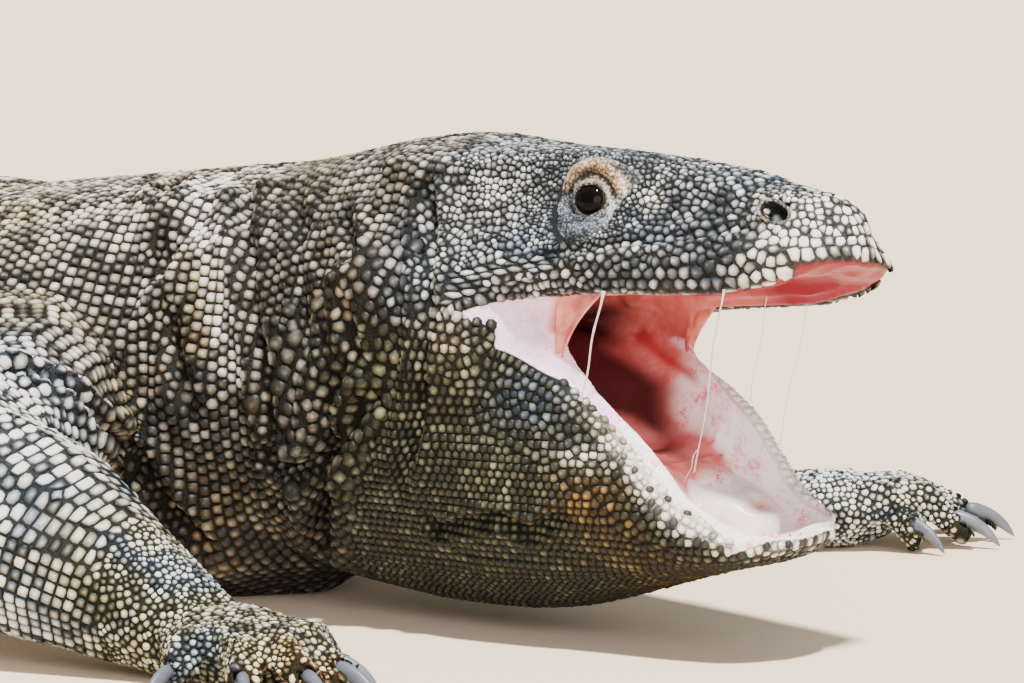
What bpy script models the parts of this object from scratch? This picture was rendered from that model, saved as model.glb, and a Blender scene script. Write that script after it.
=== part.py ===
"""Komodo dragon (Varanus komodoensis), life size, lying on its belly with its mouth agape.

Metres, +X towards the head along the trunk, +Y to the animal's left, +Z up. The origin is in the
middle of the belly's resting face, and the floor is z = 0.

The flesh is modelled whole, from lofts and tapered tubes that are fused into one skin, and is then
parted by thin cuts into the pieces that a person would name. Eyes, tongue and claws are separate
pieces, seated in sockets that are a hair larger than they are.
"""

import math

import bmesh
import bpy
from mathutils import Matrix, Vector

# --- driving dimensions, in metres ---
SNOUT_TO_EAR = 0.193
EAR_HEIGHT = 0.146
EAR_X = 0.565
EAR_Y = -0.030
HEAD_YAW = math.radians(-12)
HEAD_ROLL = math.radians(-9)
JAW_ROLL = math.radians(2)  # the lower jaw is twisted a little against the upper
TAIL_LENGTH = 1.32
TAIL_ROOT_X = -0.44
BELLY_SINK = 0.006  # how far the round belly would pass the floor, before it is cut flat
SEAT_GAP = 0.0004  # clearance of an eye, claw or tongue in its socket
CUT_WIDTH = 0.0005  # width of the thin cuts that part the flesh
NECK_CUT = -0.040  # where the head is parted from the neck, in the head's frame
TRUNK_CUTS = ((0.425, 0.27), (-0.02, 0.40), (-0.425, 0.28))  # (x, width) of those across the trunk
TAIL_CUTS = (9, 18, 27, 35)  # of the tail path's points
FORE_CUT = (0.035, 0.128, -0.10, 0.22)  # ahead of the limb's root, aside, slant and width
HIND_CUT = (0.075, 0.140, 0.10, 0.30)
CUT_HEIGHT = 0.50
FUSE_VOXEL = 0.0030
FLESH_TRIANGLES = 4150

EYE_RADIUS = 0.0095
EYE_PLACE = Vector((0.0665, 0.0362, 0.0408))  # in the head's frame, left side
NOSTRIL_PLACE = Vector((0.161, 0.0262, 0.0465))
EAR_PLACE = Vector((-0.002, 0.0700, 0.0200))


def clear_scene():
    for old in list(bpy.data.objects):
        bpy.data.objects.remove(old, do_unlink=True)


def collection(name):
    made = bpy.data.collections.new(name)
    bpy.context.scene.collection.children.link(made)
    return made


def smooth_keys(keys, x):
    """The value at x of a smooth curve through (x, value) keys, held level past both ends."""
    if x <= keys[0][0]:
        return keys[0][1]
    if x >= keys[-1][0]:
        return keys[-1][1]
    i = max(k for k in range(len(keys) - 1) if keys[k][0] <= x)
    (x0, v0), (x1, v1) = keys[i], keys[i + 1]

    def slope(k):
        if k == 0 or k == len(keys) - 1:
            j = min(k, len(keys) - 2)
            return (keys[j + 1][1] - keys[j][1]) / (keys[j + 1][0] - keys[j][0])
        return (keys[k + 1][1] - keys[k - 1][1]) / (keys[k + 1][0] - keys[k - 1][0])

    h = x1 - x0
    t = (x - x0) / h
    start, end = slope(i) * h, slope(i + 1) * h
    a = 2 * t**3 - 3 * t**2 + 1
    b = t**3 - 2 * t**2 + t
    c = -2 * t**3 + 3 * t**2
    d = t**3 - t**2
    return a * v0 + b * start + c * v1 + d * end


def steps(first, last, count):
    return [first + (last - first) * i / (count - 1) for i in range(count)]


def mesh_object(name, mesh, into):
    made = bpy.data.objects.new(name, mesh)
    into.objects.link(made)
    return made


def loft(name, rings, into):
    """A closed surface through rings of equally many points, with flat ends."""
    bm = bmesh.new()
    rows = [[bm.verts.new(p) for p in ring] for ring in rings]
    count = len(rows[0])
    for near, far in zip(rows, rows[1:]):
        for i in range(count):
            j = (i + 1) % count
            bm.faces.new((near[i], near[j], far[j], far[i]))
    bm.faces.new(rows[0][::-1])
    bm.faces.new(rows[-1])
    bmesh.ops.recalc_face_normals(bm, faces=bm.faces)
    mesh = bpy.data.meshes.new(name)
    bm.to_mesh(mesh)
    bm.free()
    return mesh_object(name, mesh, into)


def oval(half_width, top, bottom, power=2.3, count=36):
    """(across, up) points of a rounded section from bottom to top, squarer as power grows."""
    middle, half_height = (top + bottom) / 2, (top - bottom) / 2
    points = []
    for i in range(count):
        turn = 2 * math.pi * i / count
        c, s = math.cos(turn), math.sin(turn)
        across = half_width * math.copysign(abs(c) ** (2 / power), c)
        up = middle + half_height * math.copysign(abs(s) ** (2 / power), s)
        points.append((across, up))
    return points


def tube(name, path, radii, into):
    """A tapered tube through the points of path, with round ends."""
    data = bpy.data.curves.new(name, "CURVE")
    data.dimensions = "3D"
    data.bevel_depth = 1.0
    data.bevel_resolution = 3
    data.resolution_u = 5
    data.use_fill_caps = True
    spline = data.splines.new("BEZIER")
    spline.bezier_points.add(len(path) - 1)
    for point, place, radius in zip(spline.bezier_points, path, radii):
        point.co = place
        point.radius = radius
        point.handle_left_type = point.handle_right_type = "AUTO"
    curve = mesh_object(name, data, into)
    bpy.context.view_layer.update()
    evaluated = curve.evaluated_get(bpy.context.evaluated_depsgraph_get())
    mesh = bpy.data.meshes.new_from_object(evaluated)
    bpy.data.objects.remove(curve)
    bm = bmesh.new()
    bm.from_mesh(mesh)
    bmesh.ops.remove_doubles(bm, verts=bm.verts, dist=1e-5)
    bmesh.ops.recalc_face_normals(bm, faces=bm.faces)
    bm.to_mesh(mesh)
    bm.free()
    made = mesh_object(name, mesh, into)
    ellipsoid(name + "_start", path[0], [radii[0] * 0.98] * 3, into)
    ellipsoid(name + "_end", path[-1], [radii[-1] * 0.98] * 3, into)
    return made


def ellipsoid(name, place, radii, into, turn=None, segments=(24, 14)):
    bm = bmesh.new()
    bmesh.ops.create_uvsphere(bm, u_segments=segments[0], v_segments=segments[1], radius=1)
    bmesh.ops.scale(bm, vec=radii, verts=bm.verts)
    if turn is not None:
        bmesh.ops.transform(bm, matrix=turn.to_4x4(), verts=bm.verts)
    bmesh.ops.translate(bm, vec=place, verts=bm.verts)
    mesh = bpy.data.meshes.new(name)
    bm.to_mesh(mesh)
    bm.free()
    return mesh_object(name, mesh, into)


# --- the head, in its own frame: origin between the ears, +X to the snout, +Y left, +Z up ---
HEAD_TURN = Matrix.Rotation(HEAD_YAW, 3, "Z") @ Matrix.Rotation(HEAD_ROLL, 3, "X")
HEAD_PLACE = Vector((EAR_X, EAR_Y, EAR_HEIGHT))


def from_head(x, y, z):
    """A point of the head's frame in the world. The roll eases from the upper jaw's to the lower's."""
    share = min(1.0, max(0.0, -z / 0.06))
    share = share * share * (3 - 2 * share)
    roll = HEAD_ROLL + (JAW_ROLL - HEAD_ROLL) * share
    turn = Matrix.Rotation(HEAD_YAW, 3, "Z") @ Matrix.Rotation(roll, 3, "X")
    return HEAD_PLACE + turn @ Vector((x, y, z))


CROWN = [(-0.06, 0.0645), (-0.02, 0.0665), (0.016, 0.0650), (0.064, 0.0645), (0.1225, 0.0625),
         (0.152, 0.0570), (0.174, 0.0550), (0.182, 0.0505), (0.188, 0.0430), (SNOUT_TO_EAR, 0.0325)]
BROW_HEIGHT = [(-0.06, 0.048), (0.0, 0.052), (0.045, 0.0590), (0.075, 0.0590), (0.10, 0.0550),
               (0.14, 0.0520), (0.168, 0.0500), (0.182, 0.0430), (SNOUT_TO_EAR, 0.030)]
BROW_HALF = [(-0.06, 0.058), (0.0, 0.053), (0.045, 0.0420), (0.075, 0.0375), (0.10, 0.0285),
             (0.14, 0.0225), (0.168, 0.0200), (0.182, 0.0110), (SNOUT_TO_EAR, 0.002)]
CHEEK_HEIGHT = [(-0.06, -0.004), (0.0, -0.002), (0.07, 0.014), (0.14, 0.024), (0.17, 0.030),
                (SNOUT_TO_EAR, 0.029)]
CHEEK_EXTRA = [(-0.06, 0.006), (0.0, 0.006), (0.06, 0.003), (0.12, 0.0015), (SNOUT_TO_EAR, 0.0)]
UPPER_LIP = [(-0.045, -0.045), (0.0, -0.032), (0.013, -0.020), (0.022, -0.0120), (0.039, -0.0050),
             (0.071, 0.0007), (0.114, 0.0050), (0.141, 0.0078), (0.166, 0.0145), (0.181, 0.0215),
             (SNOUT_TO_EAR, 0.0258)]
RIM = [(-0.075, 0.010), (0.0, 0.0), (0.0157, -0.0134), (0.0357, -0.0215), (0.0534, -0.0277),
       (0.065, -0.0315), (0.0745, -0.0370), (0.087, -0.0450), (0.099, -0.0565), (0.1125, -0.0717),
       (0.1234, -0.0784), (0.137, -0.0840), (0.150, -0.0877), (0.160, -0.0895)]
THROAT = [(-0.09, -0.134), (-0.055, -0.1365), (-0.02, -0.1375), (0.02, -0.1365), (0.05, -0.130),
          (0.08, -0.121), (0.12, -0.1095), (0.145, -0.1035), (0.154, -0.0990), (0.160, -0.0950)]
JAW_TIP = 0.160
SNOUT_ROUND = 0.026  # how far back from its tip the snout is round, seen from above
CHIN_ROUND = 0.028
CORNER_HEIGHT = -0.0105  # of the mouth's corners


# the inside of the mouth, along the head
WEB_FRONT = [(-0.070, 0.114), (-0.0507, 0.096), (-0.035, 0.076), (-0.0145, 0.060), (0.0, 0.059),
             (0.010, 0.064)]  # the free edge of the corner's skin, against height
WEB_INSET = 0.0085
GULLET = -0.034  # where the hollow of the mouth closes
GULLET_FLARE = 0.055
FLOOR_DEPTH = [(0.0, 0.006), (0.03, 0.012), (0.08, 0.016), (0.12, 0.014), (0.142, 0.008), (0.154, -0.001)]
PALATE_VAULT = [(-0.02, 0.0), (0.03, 0.012), (0.08, 0.015), (0.13, 0.013), (0.160, 0.009), (0.180, 0.001)]
MOUTH_WALL = [(0.03, 0.0150), (0.075, 0.0140), (0.13, 0.0100)]


def front_half(distance, front, front_half_width, back_half_width, length):
    """Half-width of a jaw seen from above: a round front, then nearly straight sides."""
    if distance < front:
        return front_half_width * math.sqrt(max(0.0, 1 - ((front - distance) / front) ** 2))
    share = (distance - front) / (length - front)
    return front_half_width + (back_half_width - front_half_width) * share**0.9


def upper_half(x):
    return front_half(SNOUT_TO_EAR - x, SNOUT_ROUND, 0.0325, 0.062, 0.164)


def lower_half(x):
    return front_half(JAW_TIP - x, CHIN_ROUND, 0.0380, 0.0570, 0.138)


def round_stations(tip, reach, count):
    """Stations from where a jaw's front begins to be round, closer together near its tip."""
    return [tip - reach * (1 - math.sin(turn)) for turn in steps(0.1, 1.52, count)]


def mirrored(half):
    """A closed ring from a half section that runs from the middle below to the middle above."""
    return half + [(-y, z) for y, z in reversed(half[1:-1])]


def catmull_rom(p, q, r, s, t):
    """The value at t between q and r, where p and s are their outer neighbours."""
    linear = (r - p) * t
    square = (2 * p - 5 * q + 4 * r - s) * t**2
    cube = (3 * q - p - 3 * r + s) * t**3
    return 0.5 * (2 * q + linear + square + cube)


def rounded(points, per_span=5):
    """A smooth line through points, by Catmull-Rom, which keeps the end points."""
    out = []
    padded = [points[0], *points, points[-1]]
    for a, b, c, d in zip(padded, padded[1:], padded[2:], padded[3:]):
        for i in range(per_span):
            t = i / per_span
            out.append(tuple(catmull_rom(*corners, t) for corners in zip(a, b, c, d)))
    return [*out, points[-1]]


def upper_head_ring(x):
    """Lip, cheek, brow ridge and crown at one station of the upper head."""
    lip_half, lip = max(upper_half(x), 0.001), smooth_keys(UPPER_LIP, x)
    cheek_half = lip_half + smooth_keys(CHEEK_EXTRA, x)
    cheek, brow = smooth_keys(CHEEK_HEIGHT, x), smooth_keys(BROW_HEIGHT, x)
    brow_half = min(smooth_keys(BROW_HALF, x), lip_half * 0.97)
    crown = smooth_keys(CROWN, x)
    side = rounded([
        (lip_half - 0.0015 * min(1, lip_half / 0.02), lip),
        (lip_half, lip + 0.004),
        (cheek_half, max(cheek, lip + 0.006)),
        (cheek_half * 0.25 + brow_half * 0.75, (cheek + 1.6 * brow) / 2.6),
        (brow_half, max(brow, lip + 0.010)),
        (brow_half * 0.55, (brow + crown) / 2 + 0.0015),
        (0.0, crown),
    ])
    return [from_head(x, y, z) for y, z in mirrored([(0.0, lip), *side])]


def upper_head(into):
    straight = steps(-0.045, SNOUT_TO_EAR - SNOUT_ROUND, 18)
    round_front = round_stations(SNOUT_TO_EAR, SNOUT_ROUND, 9)
    loft("upper_head", [upper_head_ring(x) for x in straight + round_front], into)
    for side in (-1, 1):
        hood = from_head(EYE_PLACE.x - 0.001, side * 0.0345, 0.0575)
        ellipsoid("brow", hood, (0.021, 0.0095, 0.0065), into, HEAD_TURN)
        jowl = from_head(0.006, side * 0.052, -0.018)
        ellipsoid("jowl", jowl, (0.034, 0.020, 0.038), into, HEAD_TURN)


def lower_jaw_ring(x):
    """Rim, flank and throat at one station of the lower jaw."""
    half, rim, throat = max(lower_half(x), 0.001), smooth_keys(RIM, x), smooth_keys(THROAT, x)
    depth = rim - throat
    bulge = smooth_keys([(0.0, 0.011), (0.06, 0.008), (0.13, 0.0015), (JAW_TIP, 0.0)], x)
    side = rounded([
        (half * 0.50, throat + depth * 0.03),
        (half * 0.86, throat + depth * 0.18),
        (half + bulge, throat + depth * 0.52),
        (half + bulge * 0.35, throat + depth * 0.88),
        (half - 0.0015 * min(1, half / 0.02), rim),
    ])
    return [from_head(x, y, z) for y, z in mirrored([(0.0, throat), *side, (0.0, rim)])]


def lower_jaw(into):
    straight = steps(-0.075, JAW_TIP - CHIN_ROUND, 16)
    round_front = round_stations(JAW_TIP, CHIN_ROUND, 8)
    loft("lower_jaw", [lower_jaw_ring(x) for x in straight + round_front], into)


def mouth_web(into):
    """The stretched skin of the mouth's corners, as level slices with a hollow front edge."""
    rings = []
    for z in steps(-0.070, 0.010, 11):
        reach = steps(-0.02, smooth_keys(WEB_FRONT, z), 8)
        left = [(x, min(upper_half(x), lower_half(x)) - WEB_INSET) for x in reach]
        right = [(x, -y) for x, y in reversed(left)]
        rings.append([from_head(x, y, z) for x, y in left + right])
    loft("mouth_web", rings, into)


def mouth_cavity(into):
    """The hollow of the open mouth, from in front of the jaws back to the closed gullet."""
    rings = []
    for x in steps(GULLET, 0.215, 26):
        open_share = min(1.0, max(0.02, (x - GULLET) / GULLET_FLARE)) ** 0.6
        roof = max(smooth_keys(UPPER_LIP, x), CORNER_HEIGHT) + smooth_keys(PALATE_VAULT, x)
        floor = min(smooth_keys(RIM, x), CORNER_HEIGHT) - smooth_keys(FLOOR_DEPTH, x)
        middle, height = (roof + floor) / 2, (roof - floor) / 2 * open_share
        reach = min(upper_half(min(x, 0.160)), lower_half(min(x, 0.128)))
        half = (reach - smooth_keys(MOUTH_WALL, x)) * open_share
        ring = oval(half, middle + height, middle - height, 2.7, 32)
        rings.append([from_head(x, y, z) for y, z in ring])
    return loft("mouth_cavity", rings, into)


# --- neck, trunk and tail ---
# x along the trunk, middle y, half-width, top and bottom heights
BODY = [
    (0.610, -0.040, 0.050, 0.190, 0.060),
    (0.580, -0.034, 0.063, 0.206, 0.026),
    (0.545, -0.026, 0.070, 0.212, 0.014),
    (0.505, -0.018, 0.074, 0.208, 0.012),
    (0.455, -0.010, 0.077, 0.196, 0.016),
    (0.405, -0.005, 0.086, 0.187, 0.008),
    (0.350, -0.001, 0.104, 0.181, -0.003),
    (0.270, 0.000, 0.120, 0.171, -BELLY_SINK),
    (0.120, 0.000, 0.138, 0.175, -BELLY_SINK),
    (-0.050, 0.000, 0.144, 0.179, -BELLY_SINK),
    (-0.200, 0.000, 0.128, 0.169, -BELLY_SINK),
    (-0.330, 0.000, 0.098, 0.154, -BELLY_SINK),
    (TAIL_ROOT_X, 0.000, 0.073, 0.138, -BELLY_SINK),
]
# against the share of the tail's length: heading in degrees, half-width and top height
TAIL_SWAY = [(0.0, 0.0), (0.25, -22.0), (0.6, 18.0), (1.0, 62.0)]
TAIL_HALF = [(0.0, 0.075), (0.12, 0.056), (0.4, 0.030), (0.75, 0.013), (1.0, 0.0035)]
TAIL_TOP = [(0.0, 0.142), (0.12, 0.117), (0.4, 0.074), (0.75, 0.038), (1.0, 0.009)]


def section(x, y, heading, outline):
    """A body section square to the heading, from its outline of (across, up) points."""
    across = Vector((-math.sin(heading), math.cos(heading), 0))
    return [Vector((x, y, up)) + across * aside for aside, up in outline]


def body_rings():
    columns = [[(-row[0], row[i]) for row in BODY] for i in range(1, 5)]
    rings = []
    for x in steps(BODY[0][0], TAIL_ROOT_X, 50):
        y, half, top, bottom = (smooth_keys(column, -x) for column in columns)
        ahead = smooth_keys(columns[0], -(x + 0.005))
        heading = math.atan2(ahead - y, 0.005)
        rings.append(section(x, y, heading, oval(half, top, bottom, 2.25)))
    return rings


def tail_path(count=44):
    """(x, y, heading, share of length) along the tail, which lies on the floor in a slow S."""
    x, y, path = TAIL_ROOT_X, 0.0, []
    step = TAIL_LENGTH / (count - 1)
    for i in range(count):
        share = i / (count - 1)
        heading = math.radians(smooth_keys(TAIL_SWAY, share))
        path.append((x, y, heading, share))
        x -= step * math.cos(heading)
        y -= step * math.sin(heading)
    return path


def tail_rings():
    rings = []
    for x, y, heading, share in tail_path()[1:]:
        bottom = -BELLY_SINK * (1 - share) - 0.001
        outline = oval(smooth_keys(TAIL_HALF, share), smooth_keys(TAIL_TOP, share), bottom, 2.1)
        rings.append(section(x, y, heading, outline))
    return rings


def torso(into):
    loft("torso", body_rings() + tail_rings(), into)
    ellipsoid("chest", (0.395, -0.004, 0.050), (0.085, 0.082, 0.056), into)
    ellipsoid("jaw_muscle", from_head(-0.032, 0, 0.010), (0.045, 0.069, 0.052), into, HEAD_TURN)


# --- limbs ---
# joints and girths; side is -1 on the animal's right
FORE_RIGHT = {
    "root": (0.340, -0.090, 0.088), "bend": (0.404, -0.226, 0.068), "end": (0.520, -0.230, 0.022),
    "palm": (0.553, -0.241, 0.017), "heading": -28, "side": -1,
}
FORE_LEFT = {
    "root": (0.340, 0.090, 0.088), "bend": (0.388, 0.215, 0.062), "end": (0.508, 0.222, 0.022),
    "palm": (0.546, 0.244, 0.017), "heading": 44, "side": 1,
}
HIND_RIGHT = {
    "root": (-0.335, -0.080, 0.088), "bend": (-0.185, -0.238, 0.076), "end": (-0.330, -0.305, 0.028),
    "palm": (-0.284, -0.342, 0.019), "heading": -36, "side": -1,
}
HIND_LEFT = {
    "root": (-0.335, 0.080, 0.088), "bend": (-0.215, 0.248, 0.076), "end": (-0.365, 0.298, 0.028),
    "palm": (-0.334, 0.350, 0.019), "heading": 52, "side": 1,
}
LIMBS = {
    "right_fore": FORE_RIGHT,
    "left_fore": FORE_LEFT,
    "right_hind": HIND_RIGHT,
    "left_hind": HIND_LEFT,
}
FORE_GIRTH = (0.052, 0.048, 0.046, 0.045, 0.032, 0.025)  # radii from the trunk to the wrist
HIND_GIRTH = (0.064, 0.058, 0.050, 0.047, 0.033, 0.026)
TOE_LENGTHS = {"fore": (0.034, 0.050, 0.058, 0.056, 0.040), "hind": (0.034, 0.050, 0.064, 0.074, 0.046)}
TOE_FAN = (-46, -22, 0, 24, 60)  # degrees from the heading of the foot, inner toe first
TOE_RADIUS = 0.0098
TOE_TIP_HEIGHT = 0.0088
KNUCKLE_HEIGHT = 0.0225
CLAW_LENGTH = 0.028
CLAW_BEND = math.radians(58)
CLAW_RADIUS = 0.0052
CLAW_TIP_RADIUS = 0.0006
CLAW_SEAT = 0.006  # how far the claw's root lies inside the toe
CLAW_RISE = 0.0053  # of the claw's root over the toe's middle, so that the tip stays off the floor
CLAW_RINGS = 5
CLAW_SIDES = 5


def between(a, b, share):
    return Vector(a).lerp(Vector(b), share)


def limb_path(limb):
    """Points and girths from inside the trunk to the wrist or ankle."""
    root, bend, end = (Vector(limb[k]) for k in ("root", "bend", "end"))
    shank = [between(bend, end, 0.35), between(bend, end, 0.75)]
    path = [root, between(root, bend, 0.5), bend, *shank, end]
    return path, FORE_GIRTH if limb in (FORE_RIGHT, FORE_LEFT) else HIND_GIRTH


def toe_paths(name, limb):
    """(path, radii, direction at the tip) of the five toes, inner toe first."""
    palm = Vector(limb["palm"])
    made = []
    for length, fan in zip(TOE_LENGTHS[name.split("_")[1]], TOE_FAN):
        turn = math.radians(limb["heading"] + limb["side"] * fan)
        away = Vector((math.cos(turn), math.sin(turn), 0))
        root = palm + away * 0.012
        knuckle = palm + away * (0.016 + length * 0.45)
        knuckle.z = KNUCKLE_HEIGHT
        tip = palm + away * (0.012 + length)
        tip.z = TOE_TIP_HEIGHT
        made.append(([root, knuckle, tip], (TOE_RADIUS * 1.25, TOE_RADIUS, TOE_RADIUS * 0.86), away))
    return made


def limb_flesh(name, limb, into):
    path, girth = limb_path(limb)
    tube(name + "_limb", path, girth, into)
    heading = Matrix.Rotation(math.radians(limb["heading"]), 3, "Z")
    ellipsoid(name + "_palm", Vector(limb["palm"]), (0.038, 0.031, 0.0185), into, heading)
    for i, (toe, radii, _) in enumerate(toe_paths(name, limb)):
        tube(f"{name}_toe_{i + 1}", toe, radii, into)


def claw_rings(toe, away, extra):
    """Rings of a claw that leaves the toe's tip level and bends down to the floor."""
    base = toe[-1] - away * CLAW_SEAT + Vector((0, 0, CLAW_RISE))
    side = Vector((-away.y, away.x, 0))
    bend_radius = CLAW_LENGTH / CLAW_BEND
    corners = [2 * math.pi * k / CLAW_SIDES + math.pi / 10 for k in range(CLAW_SIDES)]
    rings = []
    for i, share in enumerate(steps(0.0, 1.0, CLAW_RINGS)):
        turn = CLAW_BEND * share
        ahead, drop = bend_radius * math.sin(turn), bend_radius * (1 - math.cos(turn))
        middle = base + away * (ahead - (extra if i == 0 else 0.0)) - Vector((0, 0, drop))
        up = Vector((0, 0, 1)) * math.cos(turn) + away * math.sin(turn)
        high = CLAW_RADIUS * (1 - share) ** 0.6 + CLAW_TIP_RADIUS + extra
        wide = 0.72 * high
        rings.append([middle + side * (wide * math.cos(a)) + up * (high * math.sin(a)) for a in corners])
    return rings


def claws(into, extra=0.0):
    made = {}
    for name, limb in LIMBS.items():
        for i, (toe, _, away) in enumerate(toe_paths(name, limb)):
            label = f"{name}_claw_{i + 1}"
            made[label] = loft(label, claw_rings(toe, away, extra), into)
    return made


# --- eyes and tongue ---
TONGUE_PLACE = Vector((0.106, 0.0, -0.0755))
TONGUE_RADII = Vector((0.027, 0.0155, 0.0100))
TONGUE_PITCH = math.radians(24)


def eyes(into, extra=0.0):
    made = {}
    for name, side in (("right_eye", -1), ("left_eye", 1)):
        place = from_head(EYE_PLACE.x, side * EYE_PLACE.y, EYE_PLACE.z)
        made[name] = ellipsoid(name, place, [EYE_RADIUS + extra] * 3, into, segments=(12, 8))
    return made


def hollows(into):
    """Cutters for the nostrils and for the shallow ear openings behind the jaw."""
    for side in (-1, 1):
        turn = HEAD_TURN @ Matrix.Rotation(side * math.radians(-18), 3, "Z")
        nostril = from_head(NOSTRIL_PLACE.x, side * NOSTRIL_PLACE.y, NOSTRIL_PLACE.z)
        ellipsoid("nostril_hollow", nostril, (0.0072, 0.0060, 0.0038), into, turn, (10, 6))
        lids = from_head(EYE_PLACE.x, side * (EYE_PLACE.y + 0.0070), EYE_PLACE.z)
        ellipsoid("lid_hollow", lids, (0.0100, 0.0062, 0.0064), into, HEAD_TURN, (10, 6))
        ear = from_head(EAR_PLACE.x, side * EAR_PLACE.y, EAR_PLACE.z)
        ellipsoid("ear_hollow", ear, (0.0045, 0.0060, 0.0130), into, HEAD_TURN, (10, 6))


def tongue(into, extra=0.0):
    """The tongue's sheath, a low mound on the floor of the mouth."""
    turn = HEAD_TURN @ Matrix.Rotation(TONGUE_PITCH, 3, "Y")
    radii = TONGUE_RADII + Vector((extra, extra, extra))
    return ellipsoid("tongue", from_head(*TONGUE_PLACE), radii, into, turn, (12, 7))


# --- fusing, cutting and naming ---
def joined(objects, name, into):
    """One object that holds copies of several meshes, and removes the originals."""
    bm = bmesh.new()
    for old in objects:
        bm.from_mesh(old.data)
        bpy.data.objects.remove(old)
    mesh = bpy.data.meshes.new(name)
    bm.to_mesh(mesh)
    bm.free()
    return mesh_object(name, mesh, into)


def applied(target):
    """Bakes the modifiers of an object into its mesh."""
    bpy.context.view_layer.update()
    evaluated = target.evaluated_get(bpy.context.evaluated_depsgraph_get())
    target.data = bpy.data.meshes.new_from_object(evaluated)
    target.modifiers.clear()
    return target


def cut_away(target, cutter):
    boolean = target.modifiers.new("cut", "BOOLEAN")
    boolean.operation = "DIFFERENCE"
    boolean.solver = "EXACT"
    boolean.object = cutter
    applied(target)
    bpy.data.objects.remove(cutter)


def weight_by_detail(flesh):
    """The vertex group that says where a decimated skin may be coarse: least on the head and feet."""
    group = flesh.vertex_groups.new(name="plain")
    inverse = HEAD_TURN.transposed()
    for vertex in flesh.data.vertices:
        local = inverse @ (vertex.co - HEAD_PLACE)
        on_head = local.x > -0.01 and abs(local.y) < 0.085
        on_neck = local.x > -0.10
        on_foot = vertex.co.z < 0.045 and abs(vertex.co.y) > 0.18 and abs(vertex.co.x) < 0.70
        weight = 0.9
        if on_head and local.z > -0.10:
            weight = 0.3
        elif on_head or on_foot:
            weight = 0.6
        elif on_neck:
            weight = 0.7
        group.add([vertex.index], weight, "REPLACE")
    return group.name


def keep_largest(flesh):
    """Drops any inner void that the fused lofts left between them."""
    bm = bmesh.new()
    bm.from_mesh(flesh.data)
    largest = max(islands(bm), key=len)
    bmesh.ops.delete(bm, geom=[f for f in bm.faces if f not in largest], context="FACES")
    bm.to_mesh(flesh.data)
    bm.free()


def fused_flesh(into, helpers):
    upper_head(helpers)
    lower_jaw(helpers)
    mouth_web(helpers)
    torso(helpers)
    for name, limb in LIMBS.items():
        limb_flesh(name, limb, helpers)
    flesh = joined(list(helpers.objects), "flesh", into)
    remesh = flesh.modifiers.new("fuse", "REMESH")
    remesh.mode = "VOXEL"
    remesh.voxel_size = FUSE_VOXEL
    smooth = flesh.modifiers.new("soften", "SMOOTH")
    smooth.factor = 0.5
    smooth.iterations = 5
    applied(flesh)
    keep_largest(flesh)
    cut_away(flesh, mouth_cavity(helpers))
    smooth = flesh.modifiers.new("soften", "SMOOTH")
    smooth.factor = 0.5
    smooth.iterations = 2
    applied(flesh)
    group = weight_by_detail(flesh)
    thin = flesh.modifiers.new("thin", "DECIMATE")
    thin.ratio = FLESH_TRIANGLES / (2 * len(flesh.data.polygons))
    thin.vertex_group = group
    thin.vertex_group_factor = 7.0
    applied(flesh)
    return flesh


def flatten_underside(flesh):
    """Cuts the flesh off at the floor, so that it rests on flats at one level."""
    bm = bmesh.new()
    bm.from_mesh(flesh.data)
    geometry = [*bm.verts, *bm.edges, *bm.faces]
    found = bmesh.ops.bisect_plane(
        bm, geom=geometry, dist=1e-6, plane_co=(0, 0, 0), plane_no=(0, 0, 1), clear_inner=True
    )
    edges = [e for e in found["geom_cut"] if isinstance(e, bmesh.types.BMEdge)]
    bmesh.ops.holes_fill(bm, edges=edges, sides=0)
    bmesh.ops.triangulate(bm, faces=[f for f in bm.faces if len(f.verts) > 4])
    bmesh.ops.recalc_face_normals(bm, faces=bm.faces)
    bm.to_mesh(flesh.data)
    bm.free()


def slab(place, normal, wide, high, into):
    """A thin box square to normal, which parts the flesh where it passes."""
    normal = Vector(normal).normalized()
    bm = bmesh.new()
    bmesh.ops.create_cube(bm, size=1)
    bmesh.ops.scale(bm, vec=(wide, high, CUT_WIDTH), verts=bm.verts)
    turn = normal.to_track_quat("Z", "Y").to_matrix().to_4x4()
    bmesh.ops.transform(bm, matrix=Matrix.Translation(place) @ turn, verts=bm.verts)
    mesh = bpy.data.meshes.new("slab")
    bm.to_mesh(mesh)
    bm.free()
    return mesh_object("slab", mesh, into)


def mitre(before, joint, after, size, into):
    """A thin cut across the bend of a limb."""
    inward, onward = (joint - before).normalized(), (after - joint).normalized()
    slab(joint + (onward - inward) * 0.1 * size, onward + inward, size, size, into)


def jaw_cut(into):
    """The thin cut between the jaws, from the neck's cut to inside the open mouth."""
    half = CUT_WIDTH / 2
    line = [(NECK_CUT - 0.0001, -0.0035), (0.110, -0.0280)]
    outline = [(x, z - half) for x, z in line] + [(x, z + half) for x, z in reversed(line)]
    rings = [[HEAD_PLACE + HEAD_TURN @ Vector((x, y, z)) for x, z in outline] for y in (-0.10, 0.10)]
    loft("jaw_cut", rings, into)


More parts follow.
